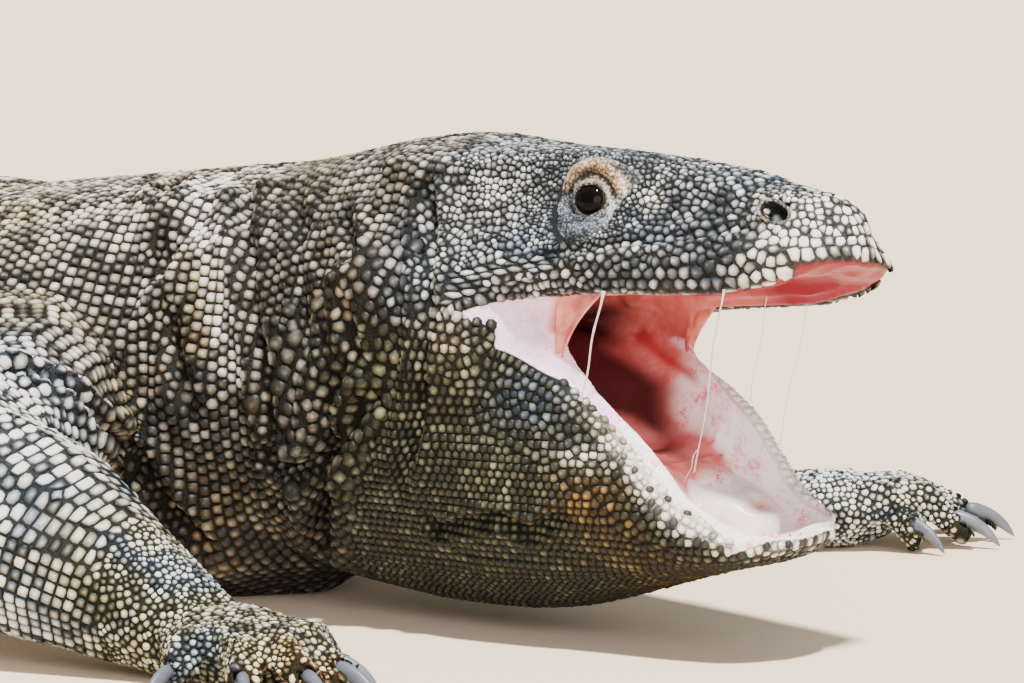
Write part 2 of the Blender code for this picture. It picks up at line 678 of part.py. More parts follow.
def part_cuts(into):
    """The thin cuts between the head, neck, trunk, tail and limbs."""
    along = Vector((1, 0, 0))
    slab(from_head(NECK_CUT, 0, 0), HEAD_TURN @ along, 0.34, CUT_HEIGHT, into)
    jaw_cut(into)
    for x, wide in TRUNK_CUTS:
        slab((x, 0, 0.1), along, wide, CUT_HEIGHT, into)
    path = tail_path()
    for index in TAIL_CUTS:
        x, y, heading, _ = path[index]
        slab((x, y, 0.05), (math.cos(heading), math.sin(heading), 0), 0.14, CUT_HEIGHT, into)
    for limb in LIMBS.values():
        root, bend, end, palm = (Vector(limb[k]) for k in ("root", "bend", "end", "palm"))
        ahead, aside, slant, wide = FORE_CUT if root.x > 0 else HIND_CUT
        body_side = (root.x + ahead, limb["side"] * aside, 0.1)
        slab(body_side, (slant, limb["side"], 0), wide, CUT_HEIGHT, into)
        mitre(root, bend, end, 0.15, into)
        mitre(bend, end, palm, 0.10, into)


def named_places():
    """A point inside each piece of flesh, by the piece's name."""
    places = {
        "head": from_head(0.07, 0, 0.045),
        "lower_jaw": from_head(0.06, 0, -0.09),
        "neck": Vector((0.46, 0, 0.11)),
        "trunk_front": Vector((0.19, 0, 0.09)),
        "trunk_rear": Vector((-0.20, 0, 0.09)),
    }
    path = tail_path()
    for i, index in enumerate((4, 13, 22, 31, 39)):
        x, y, _, _ = path[index]
        places[f"tail_{i + 1}"] = Vector((x, y, 0.03))
    segments = {"fore": ("upper_arm", "forearm", "hand"), "hind": ("thigh", "shin", "foot")}
    for name, limb in LIMBS.items():
        side, which = name.split("_")
        root, bend, end = (Vector(limb[k]) for k in ("root", "bend", "end"))
        points = (between(root, bend, 0.78), between(bend, end, 0.5), Vector(limb["palm"]))
        for part, point in zip(segments[which], points):
            places[f"{side}_{part}"] = point
    return places


def islands(bm):
    """The connected pieces of a mesh, each as a set of faces."""
    left, found = set(bm.faces), []
    while left:
        todo, piece = [left.pop()], set()
        while todo:
            face = todo.pop()
            piece.add(face)
            for edge in (e for e in face.edges if len(e.link_faces) == 2):
                for other in edge.link_faces:
                    if other in left:
                        left.discard(other)
                        todo.append(other)
        found.append(piece)
    return found


def split_into_nodes(flesh, into):
    """Makes one object of each connected piece, named after the place it lies nearest to."""
    bm = bmesh.new()
    bm.from_mesh(flesh.data)
    bpy.data.objects.remove(flesh)
    places = named_places()
    pieces = sorted(islands(bm), key=len, reverse=True)[: len(places)]
    for piece in pieces:
        corners = {v for face in piece for v in face.verts}
        middle = sum((v.co for v in corners), Vector()) / len(corners)
        name = min(places, key=lambda n: (places[n] - middle).length)
        del places[name]
        own = bmesh.new()
        copies = {v: own.verts.new(v.co) for v in corners}
        for face in piece:
            own.faces.new([copies[v] for v in face.verts])
        mesh = bpy.data.meshes.new(name)
        own.to_mesh(mesh)
        own.free()
        mesh_object(name, mesh, into)
    bm.free()


def material(name, colour, roughness):
    made = bpy.data.materials.new(name)
    made.use_nodes = True
    shader = made.node_tree.nodes["Principled BSDF"]
    shader.inputs["Base Color"].default_value = (*colour, 1)
    shader.inputs["Roughness"].default_value = roughness
    shader.inputs["Metallic"].default_value = 0.0
    return made


def paint(parts):
    skin = material("scaly_skin", (0.20, 0.19, 0.17), 0.75)
    horn = material("claw_horn", (0.16, 0.18, 0.21), 0.35)
    wet = material("eye_wet", (0.02, 0.018, 0.015), 0.08)
    pink = material("mouth_pink", (0.72, 0.42, 0.42), 0.35)
    for part in parts.objects:
        finish = skin
        if "claw" in part.name:
            finish = horn
        elif "eye" in part.name:
            finish = wet
        elif part.name == "tongue":
            finish = pink
        part.data.materials.clear()
        part.data.materials.append(finish)
        part.data.shade_smooth()
        part.data.set_sharp_from_angle(angle=math.radians(60))


def main():
    clear_scene()
    parts, helpers = collection("komodo_dragon"), collection("cutters")
    flesh = fused_flesh(parts, helpers)
    flatten_underside(flesh)
    hollows(helpers)
    for cutter in list(helpers.objects):
        cut_away(flesh, cutter)
    claws(helpers, SEAT_GAP)
    eyes(helpers, SEAT_GAP)
    tongue(helpers, SEAT_GAP)
    cut_away(flesh, joined(list(helpers.objects), "sockets", helpers))
    part_cuts(helpers)
    for cutter in list(helpers.objects):
        cut_away(flesh, cutter)
    split_into_nodes(flesh, parts)
    claws(parts)
    eyes(parts)
    tongue(parts)
    paint(parts)


main()
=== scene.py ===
"""Looks of a life-size komodo dragon with its mouth agape, as a museum shows it.

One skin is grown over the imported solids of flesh, smoothed and folded, and lies a scale's depth
inside them. Scales are solid domes that stand on it in rows. Eyes, lids, claws, the tongue's sheath
and threads of saliva are pieces of their own. Metres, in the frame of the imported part.
"""

import math

import bmesh
import bpy
import numpy as np
from mathutils import Matrix, Vector
from mathutils.bvhtree import BVHTree
from mathutils.kdtree import KDTree


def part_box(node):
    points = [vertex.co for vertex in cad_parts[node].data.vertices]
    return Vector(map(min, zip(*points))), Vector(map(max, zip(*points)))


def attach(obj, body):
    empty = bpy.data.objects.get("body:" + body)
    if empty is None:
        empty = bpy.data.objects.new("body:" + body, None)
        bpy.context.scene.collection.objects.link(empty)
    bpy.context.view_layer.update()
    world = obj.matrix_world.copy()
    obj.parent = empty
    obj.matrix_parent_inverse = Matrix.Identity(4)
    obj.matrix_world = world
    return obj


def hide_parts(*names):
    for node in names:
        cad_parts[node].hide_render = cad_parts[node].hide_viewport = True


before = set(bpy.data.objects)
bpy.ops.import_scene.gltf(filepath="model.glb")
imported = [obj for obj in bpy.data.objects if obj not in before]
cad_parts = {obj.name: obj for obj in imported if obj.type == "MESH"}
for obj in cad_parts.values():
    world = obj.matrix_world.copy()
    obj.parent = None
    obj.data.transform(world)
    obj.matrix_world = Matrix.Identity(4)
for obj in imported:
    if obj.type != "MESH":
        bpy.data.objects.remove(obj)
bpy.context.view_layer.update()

RANDOM = np.random.default_rng(7)

# --- sizes, in metres ---
VOXEL = 0.0018
SWELL = 0.00045  # closes the thin cuts between the solids
COAT_DEPTH = 0.0010  # how far the skin lies inside the solids
LOW_SCALE = 0.0010  # height of the scales on the jaw, behind the mouth's corner and on the feet
FOOT_PITCH = 0.0042
JAW_ROW, JAW_PITCH = 0.0034, 0.0039
STREAM_ROW, STREAM_LENGTH, STREAM_PITCH = 0.0027, 0.0068, 0.0043
OPEN_ABOVE = 0.0045  # a scale stands only where this much above the skin is free
SKIN_TRIANGLES = 185000

# --- the form of one scale ---
SCALE_SIDES = 8
NEIGHBOURS = 10  # that its outline is cut against
REACH_LIMIT = 0.80  # of its pitch
SHOULDER_OUT, SHOULDER_UP = 0.77, 0.72  # of its reach and its height
# The material turns the mask "rise" into painted shade at a scale's root and a painted highlight on its
# top.
SHOULDER_RISE = 0.66  # the mask "rise" at its shoulder, from 0 at its root to 1 on top
LEAN = 0.14  # how far its top leans along it, of its reach
ROOT_DEPTH = 0.0004  # how far its foot stands in the skin
UNEVEN_REACH, UNEVEN_HEIGHT = 0.035, 0.12
UV_PATCH = 0.0014  # half of a scale's patch on the UV map

# --- the head's frame: origin between the ears, x to the snout, y left, z up ---
EYES_IN_HEAD = Vector((0.0665, 0.0, 0.0408))
JAW_ROLL = math.radians(2)
JAW_ROLL_DEPTH = 0.060
SNOUT = 0.193
JAW_TIP = 0.160
UPPER_FRONT, LOWER_FRONT = 0.026, 0.028  # how deep the round front of each jaw is
CORNER_HEIGHT = -0.0105
UPPER_LIP = [(-0.045, -0.045), (0.0, -0.032), (0.013, -0.020), (0.022, -0.0120), (0.039, -0.0050),
             (0.071, 0.0007), (0.114, 0.0050), (0.141, 0.0078), (0.166, 0.0145), (0.181, 0.0215),
             (SNOUT, 0.0258)]
LOWER_RIM = [(-0.075, 0.010), (0.0, 0.0), (0.0157, -0.0134), (0.0357, -0.0215), (0.0534, -0.0277),
             (0.065, -0.0315), (0.0745, -0.0370), (0.087, -0.0450), (0.099, -0.0565), (0.1125, -0.0717),
             (0.1234, -0.0784), (0.137, -0.0840), (0.150, -0.0877), (JAW_TIP, -0.0895)]
VAULT = [(-0.02, 0.0), (0.03, 0.012), (0.08, 0.015), (0.13, 0.013), (0.160, 0.009), (0.180, 0.001)]
FLOOR = [(0.0, 0.006), (0.03, 0.012), (0.08, 0.016), (0.12, 0.014), (0.142, 0.008), (0.154, -0.001)]


def middle_of(node):
    low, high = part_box(node)
    return (low + high) / 2


RIGHT_EYE, LEFT_EYE = middle_of("right_eye"), middle_of("left_eye")
ACROSS = (LEFT_EYE - RIGHT_EYE).normalized()
HEAD_YAW = math.atan2(-ACROSS.x, ACROSS.y)
HEAD_ROLL = math.asin(ACROSS.z)
HEAD_TURN = Matrix.Rotation(HEAD_YAW, 3, "Z") @ Matrix.Rotation(HEAD_ROLL, 3, "X")
HEAD_PLACE = (LEFT_EYE + RIGHT_EYE) / 2 - HEAD_TURN @ EYES_IN_HEAD
EYE_RADIUS = (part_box("right_eye")[1].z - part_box("right_eye")[0].z) / 2

# --- the limbs' joints, and the tail's path, in the world ---
LIMBS = {
    "right_fore": ((0.340, -0.090, 0.088), (0.404, -0.226, 0.068), (0.520, -0.230, 0.022),
                   (0.553, -0.241, 0.017)),
    "left_fore": ((0.340, 0.090, 0.088), (0.388, 0.215, 0.062), (0.508, 0.222, 0.022),
                  (0.546, 0.244, 0.017)),
    "right_hind": ((-0.335, -0.080, 0.088), (-0.185, -0.238, 0.076), (-0.330, -0.305, 0.028),
                   (-0.284, -0.342, 0.019)),
    "left_hind": ((-0.335, 0.080, 0.088), (-0.215, 0.248, 0.076), (-0.365, 0.298, 0.028),
                  (-0.334, 0.350, 0.019)),
}
TAIL_ROOT_X = -0.44
TAIL_SIDE_X = -0.46  # no limb lies behind it
TAIL_LENGTH = 1.32
TAIL_SWAY = [(0.0, 0.0), (0.25, -22.0), (0.6, 18.0), (1.0, 62.0)]
TRUNK_HALF = [(-0.44, 0.073), (-0.33, 0.098), (-0.20, 0.128), (-0.05, 0.144), (0.12, 0.138),
              (0.27, 0.120), (0.35, 0.104), (0.405, 0.086), (0.455, 0.077), (0.545, 0.070)]
TRUNK_TOP = [(-0.44, 0.138), (-0.20, 0.169), (-0.05, 0.179), (0.12, 0.175), (0.27, 0.171),
             (0.405, 0.187), (0.505, 0.208), (0.58, 0.206)]


def keyed(keys, x):
    """The value at x of a line through (x, value) keys, level past both ends."""
    return np.interp(x, [k[0] for k in keys], [k[1] for k in keys])


def eased(low, high, x):
    """0 below low, 1 above high, and smooth between them."""
    share = np.clip((x - low) / (high - low), 0.0, 1.0)
    return share * share * (3 - 2 * share)


def unit(vectors):
    return vectors / np.maximum(np.linalg.norm(vectors, axis=-1, keepdims=True), 1e-12)


def hump(x, middle, width):
    """1 at the middle and falling smoothly to 0 on both sides."""
    return np.exp(-(((x - middle) / width) ** 2))


def from_segment(points, a, b):
    """Each point's share of the way from a to b, and its distance from that line."""
    t = np.clip((points - a) @ (b - a) / ((b - a) @ (b - a)), 0, 1)
    return t, np.linalg.norm(points - a - t[:, None] * (b - a), axis=1)


def points_along(line, along, at):
    """Points of a line at given distances along it."""
    return np.stack([np.interp(at, along, line[:, k]) for k in range(3)], 1)


def head_roll(z):
    return HEAD_ROLL + (JAW_ROLL - HEAD_ROLL) * eased(0.0, JAW_ROLL_DEPTH, -z)


def to_head(points):
    """Coordinates in the head's frame, where the lower jaw is twisted a little against the upper."""
    turn = np.array(Matrix.Rotation(HEAD_YAW, 3, "Z"))
    x, across, up = ((np.asarray(points) - np.array(HEAD_PLACE)) @ turn).T
    y, z = across, up
    for _ in range(3):
        roll = head_roll(z)
        y = across * np.cos(roll) + up * np.sin(roll)
        z = up * np.cos(roll) - across * np.sin(roll)
    return x, y, z


def ahead_in_head(points):
    return to_head(points)[0]


def from_head(x, y, z):
    roll = float(head_roll(z))
    turn = Matrix.Rotation(HEAD_YAW, 3, "Z") @ Matrix.Rotation(roll, 3, "X")
    return HEAD_PLACE + turn @ Vector((x, y, z))


def half_width(distance, front, front_half, back_half, length):
    """Half-width of a jaw seen from above: a round front, then nearly straight sides."""
    round_part = front_half * np.sqrt(np.clip(1 - ((front - distance) / front) ** 2, 0, 1))
    share = np.clip((distance - front) / (length - front), 0, None)
    straight = front_half + (back_half - front_half) * share**0.9
    return np.where(distance < front, np.where(distance > 0, round_part, 0), straight)


def upper_half(x):
    return half_width(SNOUT - x, UPPER_FRONT, 0.0325, 0.062, 0.164)


def lower_half(x):
    return half_width(JAW_TIP - x, LOWER_FRONT, 0.0380, 0.0570, 0.138)


def in_jaws(points):
    """x, y, z in the head's frame, the distance from its middle, and the edges of both jaws there."""
    x, y, z = to_head(points)
    return x, y, z, np.abs(y), keyed(UPPER_LIP, x), keyed(LOWER_RIM, x)


def tail_path(count=132):
    """Points along the tail's middle, from its root to its tip."""
    shares = np.linspace(0, 1, count)
    heading = np.radians(keyed_smooth(TAIL_SWAY, shares))
    step = TAIL_LENGTH / (count - 1)
    x = TAIL_ROOT_X - np.concatenate([[0], np.cumsum(np.cos(heading[:-1]) * step)])
    y = -np.concatenate([[0], np.cumsum(np.sin(heading[:-1]) * step)])
    return np.stack([x, y], 1)


def keyed_smooth(keys, x):
    """The value at x of a smooth curve through keys, with the slope of each key's neighbours."""
    xs, vs = np.array(keys, float).T
    slopes = np.diff(vs) / np.diff(xs)
    inner = (vs[2:] - vs[:-2]) / (xs[2:] - xs[:-2])
    slopes = np.concatenate([slopes[:1], inner, slopes[-1:]])
    i = np.clip(np.searchsorted(xs, x, side="right") - 1, 0, len(xs) - 2)
    h = xs[i + 1] - xs[i]
    t = np.clip((x - xs[i]) / h, 0, 1)
    return ((2 * t**3 - 3 * t**2 + 1) * vs[i] + (t**3 - 2 * t**2 + t) * slopes[i] * h
            + (3 * t**2 - 2 * t**3) * vs[i + 1] + (t**3 - t**2) * slopes[i + 1] * h)


# --- meshes and numpy ---
def vectors_of(items, name, width=3, kind=np.float32):
    values = np.empty(len(items) * width, kind)
    items.foreach_get(name, values)
    return values.reshape(-1, width)


def linked(name, data):
    made = bpy.data.objects.new(name, data)
    bpy.context.scene.collection.objects.link(made)
    return made


def mesh_from(bm, name):
    """The mesh of a bmesh, which is freed."""
    mesh = bpy.data.meshes.new(name)
    bm.to_mesh(mesh)
    bm.free()
    return mesh


def tree_over(places):
    tree = KDTree(len(places))
    for i, place in enumerate(places):
        tree.insert(place, i)
    tree.balance()
    return tree


def surface_tree(places, mesh):
    return BVHTree.FromPolygons([tuple(p) for p in places], [tuple(f.vertices) for f in mesh.polygons])


def applied(target):
    """Bakes the modifiers of an object into its mesh."""
    bpy.context.view_layer.update()
    evaluated = target.evaluated_get(bpy.context.evaluated_depsgraph_get())
    target.data = bpy.data.meshes.new_from_object(evaluated)
    target.modifiers.clear()
    return target


def write_attribute(mesh, name, values):
    layer = mesh.attributes.new(name, "FLOAT", "POINT")
    layer.data.foreach_set("value", np.ascontiguousarray(values, np.float32))


class Surface:
    """A mesh as arrays: places, normals and edges of its points."""

    def __init__(self, mesh):
        self.mesh = mesh
        self.places = vectors_of(mesh.vertices, "co").astype(float)
        self.edges = vectors_of(mesh.edges, "vertices", 2, np.int32)
        self.refresh()

    def refresh(self):
        self.mesh.vertices.foreach_set("co", self.places.astype(np.float32).ravel())
        self.mesh.update()
        self.normals = vectors_of(self.mesh.vertices, "normal").astype(float)

    def relaxed(self, factor, where=1.0):
        """Moves each point towards the mean of its neighbours."""
        a, b = self.edges.T
        count = len(self.places)
        valence = np.bincount(a, minlength=count) + np.bincount(b, minlength=count)
        for axis in range(3):
            values = self.places[:, axis]
            total = np.bincount(a, values[b], count) + np.bincount(b, values[a], count)
            self.places[:, axis] = values + factor * where * (total / np.maximum(valence, 1) - values)

    def smoothed(self, rounds, where=1.0):
        """Removes facets without shrinking the form."""
        for _ in range(rounds):
            self.relaxed(0.60, where)
            self.relaxed(-0.62, where)
        self.refresh()

    def pushed(self, along_normal):
        self.places += self.normals * np.asarray(along_normal)[:, None]
        self.refresh()


# --- the skin ---
def flesh_nodes():
    other = ("claw", "eye", "tongue")
    return [name for name in sorted(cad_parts) if not any(word in name for word in other)]


def grown_skin():
    """One closed mesh over all the solids of flesh."""
    bm = bmesh.new()
    for name in [*flesh_nodes(), "tongue"]:
        part = bmesh.new()
        part.from_mesh(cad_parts[name].data)
        bmesh.ops.remove_doubles(part, verts=part.verts, dist=1e-6)
        part.normal_update()
        for vertex in part.verts:
            vertex.co += vertex.normal * SWELL
        bm.from_mesh(mesh_from(part, "part"))
    skin = linked("skin", mesh_from(bm, "skin"))
    remesh = skin.modifiers.new("grow", "REMESH")
    remesh.mode = "VOXEL"
    remesh.voxel_size = VOXEL
    return applied(skin)


def in_mouth(points):
    """How far inside the mouth's lining a point lies, in metres: below 0 on the scaly outside."""
    x, _, z, side, lip, rim = in_jaws(points)
    corner = 0.0042 * eased(0.056, 0.036, x)
    above, below = upper_half(x) - 0.0008 + corner - side, lower_half(x) - 0.0008 + corner - side
    gape = np.minimum(lip + 0.0007 - z, z - rim + 0.0007)
    between = np.minimum(gape, np.where(z > (lip + rim) / 2, above, below))
    narrower = np.minimum(upper_half(np.minimum(x, 0.160)), lower_half(np.minimum(x, 0.128)))
    roof = np.maximum(lip, CORNER_HEIGHT) + keyed(VAULT, x) + 0.004
    floor = np.minimum(rim, CORNER_HEIGHT) - keyed(FLOOR, x) - 0.004 - 0.018 * eased(0.094, 0.082, x)
    hollow = np.minimum(np.minimum(roof - z, z - floor), narrower - 0.0065 - side)
    hollow = np.minimum(hollow, x + 0.040)
    between = np.minimum(between, x - 0.012)
    return np.maximum(between, hollow)


def sculpt(skin):
    """Smooths the skin, gives it folds, nostrils and the mouth's relief, and sinks it a little."""
    surface = Surface(skin.data)
    x, _, z = to_head(surface.places)
    mouth = in_mouth(surface.places)
    feet = (surface.places[:, 2] < 0.05) & (np.abs(surface.places[:, 1]) > 0.17)
    surface.smoothed(14)
    surface.smoothed(22, np.where(feet | ((x > 0.0) & (z > -0.12)), 0.35, 1.0))
    surface.pushed(folded(surface.places))
    surface.smoothed(3)
    nostril = from_nostril(surface.places)
    hole = -NOSTRIL_DEPTH * (1 - eased(0.25, 1.05, nostril))
    rim = 0.0011 * hump(nostril, 1.45, 0.42)
    surface.pushed(hole + rim + np.where(mouth > 0.0, mouth_relief(surface.places, mouth), 0.0))
    surface.smoothed(3, np.where(nostril < 3, 0.3, 1.0))
    surface.pushed(-COAT_DEPTH - SWELL - 0.0008 * eased(0.0, 0.0020, mouth))
    surface.places[:, 2] = np.maximum(surface.places[:, 2], 0.0)
    surface.refresh()
    return surface


def lightened(skin):
    """Thins the skin out where scales hide it, and keeps the head and the mouth fine."""
    x, _, z = to_head(vectors_of(skin.data.vertices, "co"))
    head = (x > 0.0) & (z > -0.115)
    group = skin.vertex_groups.new(name="plain")
    group.add(np.flatnonzero(~head).tolist(), 1.0, "REPLACE")
    thin = skin.modifiers.new("thin", "DECIMATE")
    thin.ratio = SKIN_TRIANGLES / (2 * len(skin.data.polygons))
    thin.vertex_group = group.name
    thin.vertex_group_factor = 20.0
    applied(skin)
    skin.vertex_groups.clear()
    for attribute in [a for a in skin.data.attributes if a.name == "plain"]:
        skin.data.attributes.remove(attribute)


# Grooves of the right side: points along each in the world, its depth and width, and the height
# of the ridges beside it. The left side has the same, mirrored and shallower.
FOLDS = [
    # behind the jaw, from the ear down to the throat
    ([(0.540, -0.076, 0.198), (0.5416, -0.078, 0.192), (0.5526, -0.094, 0.169),
      (0.5591, -0.102, 0.1445), (0.5538, -0.102, 0.114), (0.5458, -0.0975, 0.083),
      (0.530, -0.085, 0.050)], 0.0075, 0.0036, 0.0036),
    # the rear edge of the throat's pouch
    ([(0.513, -0.096, 0.125), (0.5013, -0.0964, 0.101), (0.4945, -0.089, 0.065), (0.482, -0.071, 0.038),
      (0.470, -0.050, 0.022)], 0.0110, 0.0050, 0.0042),
    # under the end of the neck's side fold
    ([(0.4544, -0.085, 0.079), (0.468, -0.086, 0.072), (0.4826, -0.088, 0.069), (0.4985, -0.092, 0.074),
      (0.5114, -0.096, 0.089), (0.5228, -0.0976, 0.103),
      (0.5332, -0.098, 0.107)], 0.0085, 0.0040, 0.0042),
    # on both sides of the neck's upright folds
    ([(0.372, -0.012, 0.183), (0.3793, -0.037, 0.1785), (0.4016, -0.069, 0.152), (0.413, -0.084, 0.120),
      (0.420, -0.0885, 0.103), (0.429, -0.087, 0.082)], 0.0062, 0.0042, 0.0036),
    ([(0.418, -0.030, 0.188), (0.4303, -0.053, 0.179), (0.4487, -0.076, 0.156),
      (0.4634, -0.0887, 0.119), (0.470, -0.089, 0.081),
      (0.464, -0.076, 0.0525)], 0.0062, 0.0042, 0.0036),
    ([(0.455, -0.047, 0.1885), (0.4750, -0.074, 0.170), (0.487, -0.090, 0.135),
      (0.489, -0.094, 0.110)], 0.0042, 0.0038, 0.0022),
    ([(0.4935, -0.069, 0.184), (0.5092, -0.0925, 0.166), (0.5168, -0.100, 0.133),
      (0.520, -0.0985, 0.118)], 0.0045, 0.0036, 0.0024),
    # over the arm, from the shoulder down to the chest
    ([(0.392, -0.206, 0.121), (0.399, -0.1907, 0.1188), (0.4018, -0.1777, 0.1154),
      (0.4075, -0.166, 0.1095), (0.4124, -0.1451, 0.0936), (0.4095, -0.126, 0.0835),
      (0.400, -0.100, 0.0730), (0.398, -0.0874, 0.0640), (0.405, -0.083, 0.0486),
      (0.4194, -0.073, 0.031), (0.426, -0.067, 0.022)], 0.0085, 0.0042, 0.0042),
    # across the pouch
    ([(0.5495, -0.0915, 0.0588), (0.5521, -0.086, 0.0476), (0.5726, -0.092, 0.0533),
      (0.5892, -0.094, 0.0566), (0.6029, -0.0915, 0.051), (0.6159, -0.094, 0.058),
      (0.6284, -0.096, 0.0625)], 0.0038, 0.0028, 0.0026),
    ([(0.560, -0.080, 0.038), (0.585, -0.083, 0.040), (0.612, -0.083, 0.041)], 0.0016, 0.0026, 0.0010),
    # between the lip's scales and the cheek, to the nostril
    ([(0.5921, -0.098, 0.157), (0.606, -0.0965, 0.1655), (0.6197, -0.0941, 0.1723),
      (0.6569, -0.0897, 0.1785), (0.684, -0.0856, 0.1827), (0.7019, -0.0826, 0.1862),
      (0.714, -0.088, 0.184)], 0.0024, 0.0024, 0.0014),
]
LEFT_SHARE = 0.6  # of the right side's depth


def neck_middle(x):
    return np.interp(x, [0.35, 0.455, 0.545, 0.61, 0.75], [0.0, -0.010, -0.026, -0.040, -0.070])


def folded(points):
    """How far the folds push the skin in or out, in metres, before it is smoothed."""
    pushed = np.zeros(len(points))
    near = np.flatnonzero((points[:, 0] > 0.33) & (np.abs(points[:, 1]) < 0.19))
    for side, strength in ((-1, 1.0), (1, LEFT_SHARE)):
        for path, depth, width, ridge in FOLDS:
            line = np.array(path)
            if side > 0:
                line[:, 1] = 2 * neck_middle(line[:, 0]) - line[:, 1]
            low, high = line.min(0) - 5 * width, line.max(0) + 5 * width
            which = near[np.all((points[near] > low) & (points[near] < high), axis=1)]
            spot = points[which]
            distance, share = np.full(len(which), 1.0), np.zeros(len(which))
            for k, (a, b) in enumerate(zip(line, line[1:])):
                t, gap = from_segment(spot, a, b)
                closer = gap < distance
                share = np.where(closer, (k + t) / (len(line) - 1), share)
                distance = np.minimum(distance, gap)
            fade = eased(0.0, 0.18, share) * eased(1.0, 0.82, share)
            groove = -depth * hump(distance, 0.0, width)
            swell = ridge * hump(distance, 2.1 * width, 1.25 * width)
            pushed[which] += strength * fade * (groove + swell)
    return pushed


NOSTRIL = (0.1585, 0.0262, 0.0460)  # its middle in the head's frame, on the left
NOSTRIL_HALF = (0.0076, 0.0042)
NOSTRIL_SLOPE = math.radians(-14)
NOSTRIL_DEPTH = 0.0085


def from_nostril(points):
    """Distance from the nearer nostril's middle, where 1 is its edge."""
    x, y, z = to_head(points)
    ahead, up = x - NOSTRIL[0], z - NOSTRIL[2]
    along = ahead * math.cos(NOSTRIL_SLOPE) + up * math.sin(NOSTRIL_SLOPE)
    over = up * math.cos(NOSTRIL_SLOPE) - ahead * math.sin(NOSTRIL_SLOPE)
    distance = np.sqrt((along / NOSTRIL_HALF[0]) ** 2 + (over / NOSTRIL_HALF[1]) ** 2)
    return np.where((np.abs(y) > 0.012) & (z > 0.030), distance, 99.0)


def mouth_relief(points, mouth):
    """Gums, palate, gullet and folds of the mouth's lining, as a push along the normal."""
    x, y, z, side, lip, rim = in_jaws(points)
    below = eased(0.006, -0.006, z - (lip + rim) / 2)
    gum = 0.0015 * hump(mouth, 0.0055, 0.0022) * eased(0.045, 0.06, x)
    trough = -0.0014 * hump(mouth, 0.0105, 0.0018) * eased(0.06, 0.08, x)
    seam = -0.0020 * hump(y, 0.0, 0.0024) + 0.0012 * hump(side, 0.0085, 0.0035)
    palate = seam * (1 - below) * eased(0.005, 0.015, mouth) * eased(0.03, 0.06, x)
    pads = 0.0100 * np.exp(-(((x - 0.026) / 0.018) ** 2) - ((side - 0.018) / 0.015) ** 2)
    pads = pads * eased(-0.030, -0.016, z) * eased(0.003, 0.010, mouth)
    gullet = -0.0150 * np.exp(-(((x - 0.058) / 0.022) ** 4) - (side / 0.024) ** 4) * below
    ridges = 0.0009 * np.sin(2 * math.pi * (x + 0.5 * side) / 0.0060) * below
    ridges = ridges * np.exp(-(((x - 0.092) / 0.010) ** 2) - ((side - 0.018) / 0.010) ** 2)
    return gum + trough + palate + (pads + gullet) * eased(0.002, 0.008, mouth) + ridges


# --- where the scales stand ---
class Sites:
    """Roots of scales, each with the way it points (lie), its distance from the next (pitch), its
    roundness, its length for a width of 1 (ratio) and the number of its kind of coat."""

    FIELDS = ("place", "normal", "lie", "pitch", "height", "round", "ratio", "kind")

    def __init__(self, place, normal, lie, pitch, height, roundness, ratio=1.0):
        count = len(place)
        self.place, self.normal = np.asarray(place, float), unit(np.asarray(normal, float))
        self.lie = np.broadcast_to(lie, (count, 3)).astype(float)
        for field, value in zip(self.FIELDS[3:], (pitch, height, roundness, ratio, 0.0)):
            setattr(self, field, np.broadcast_to(value, count).astype(float))

    def __len__(self):
        return len(self.place)

    def kept(self, which):
        made = object.__new__(Sites)
        for field in self.FIELDS:
            setattr(made, field, getattr(self, field)[which])
        return made

    @classmethod
    def together(cls, several):
        made = object.__new__(cls)
        for field in cls.FIELDS:
            setattr(made, field, np.concatenate([getattr(s, field) for s in several]))
        return made


def rows(surface, number, order, spacing, where):
    """(places, normals) spaced along the lines on the surface where number is whole."""
    a, b = surface.edges.T
    first, second = number[a], number[b]
    level = np.floor(np.maximum(first, second))
    crossing = (level > np.minimum(first, second)) & (np.abs(first - second) < 0.9)
    crossing &= where[a] & where[b]
    a, b, level = a[crossing], b[crossing], level[crossing]
    share = ((level - first[crossing]) / (second[crossing] - first[crossing]))[:, None]
    place = surface.places[a] * (1 - share) + surface.places[b] * share
    normal = surface.normals[a] * (1 - share) + surface.normals[b] * share
    gap = spacing(place, normal)
    sequence = np.lexsort((order(place), level))
    place, normal, level, gap = place[sequence], normal[sequence], level[sequence], gap[sequence]
    starts = np.flatnonzero(np.diff(level, prepend=-1e9))
    ends = np.append(starts[1:], len(level))
    places, normals = [], []
    for start, end in zip(starts, ends):
        if end - start < 4:
            continue
        line, toward = place[start:end], normal[start:end]
        length = np.linalg.norm(np.diff(line, axis=0), axis=1)
        weight = length / gap[start : end - 1]
        along = np.concatenate([[0], np.cumsum(weight)])
        count = int(round(along[-1]))
        if count < 1:
            continue
        shift = 0.25 if level[start] % 2 else 0.75
        at = (np.arange(count) + shift) * along[-1] / count
        segment = np.clip(np.searchsorted(along, at) - 1, 0, len(length) - 1)
        at = at[length[segment] < 3.5 * VOXEL]
        places.append(points_along(line, along, at))
        normals.append(points_along(toward, along, at))
    if not places:
        return np.zeros((0, 3)), np.zeros((0, 3))
    return np.concatenate(places), np.concatenate(normals)


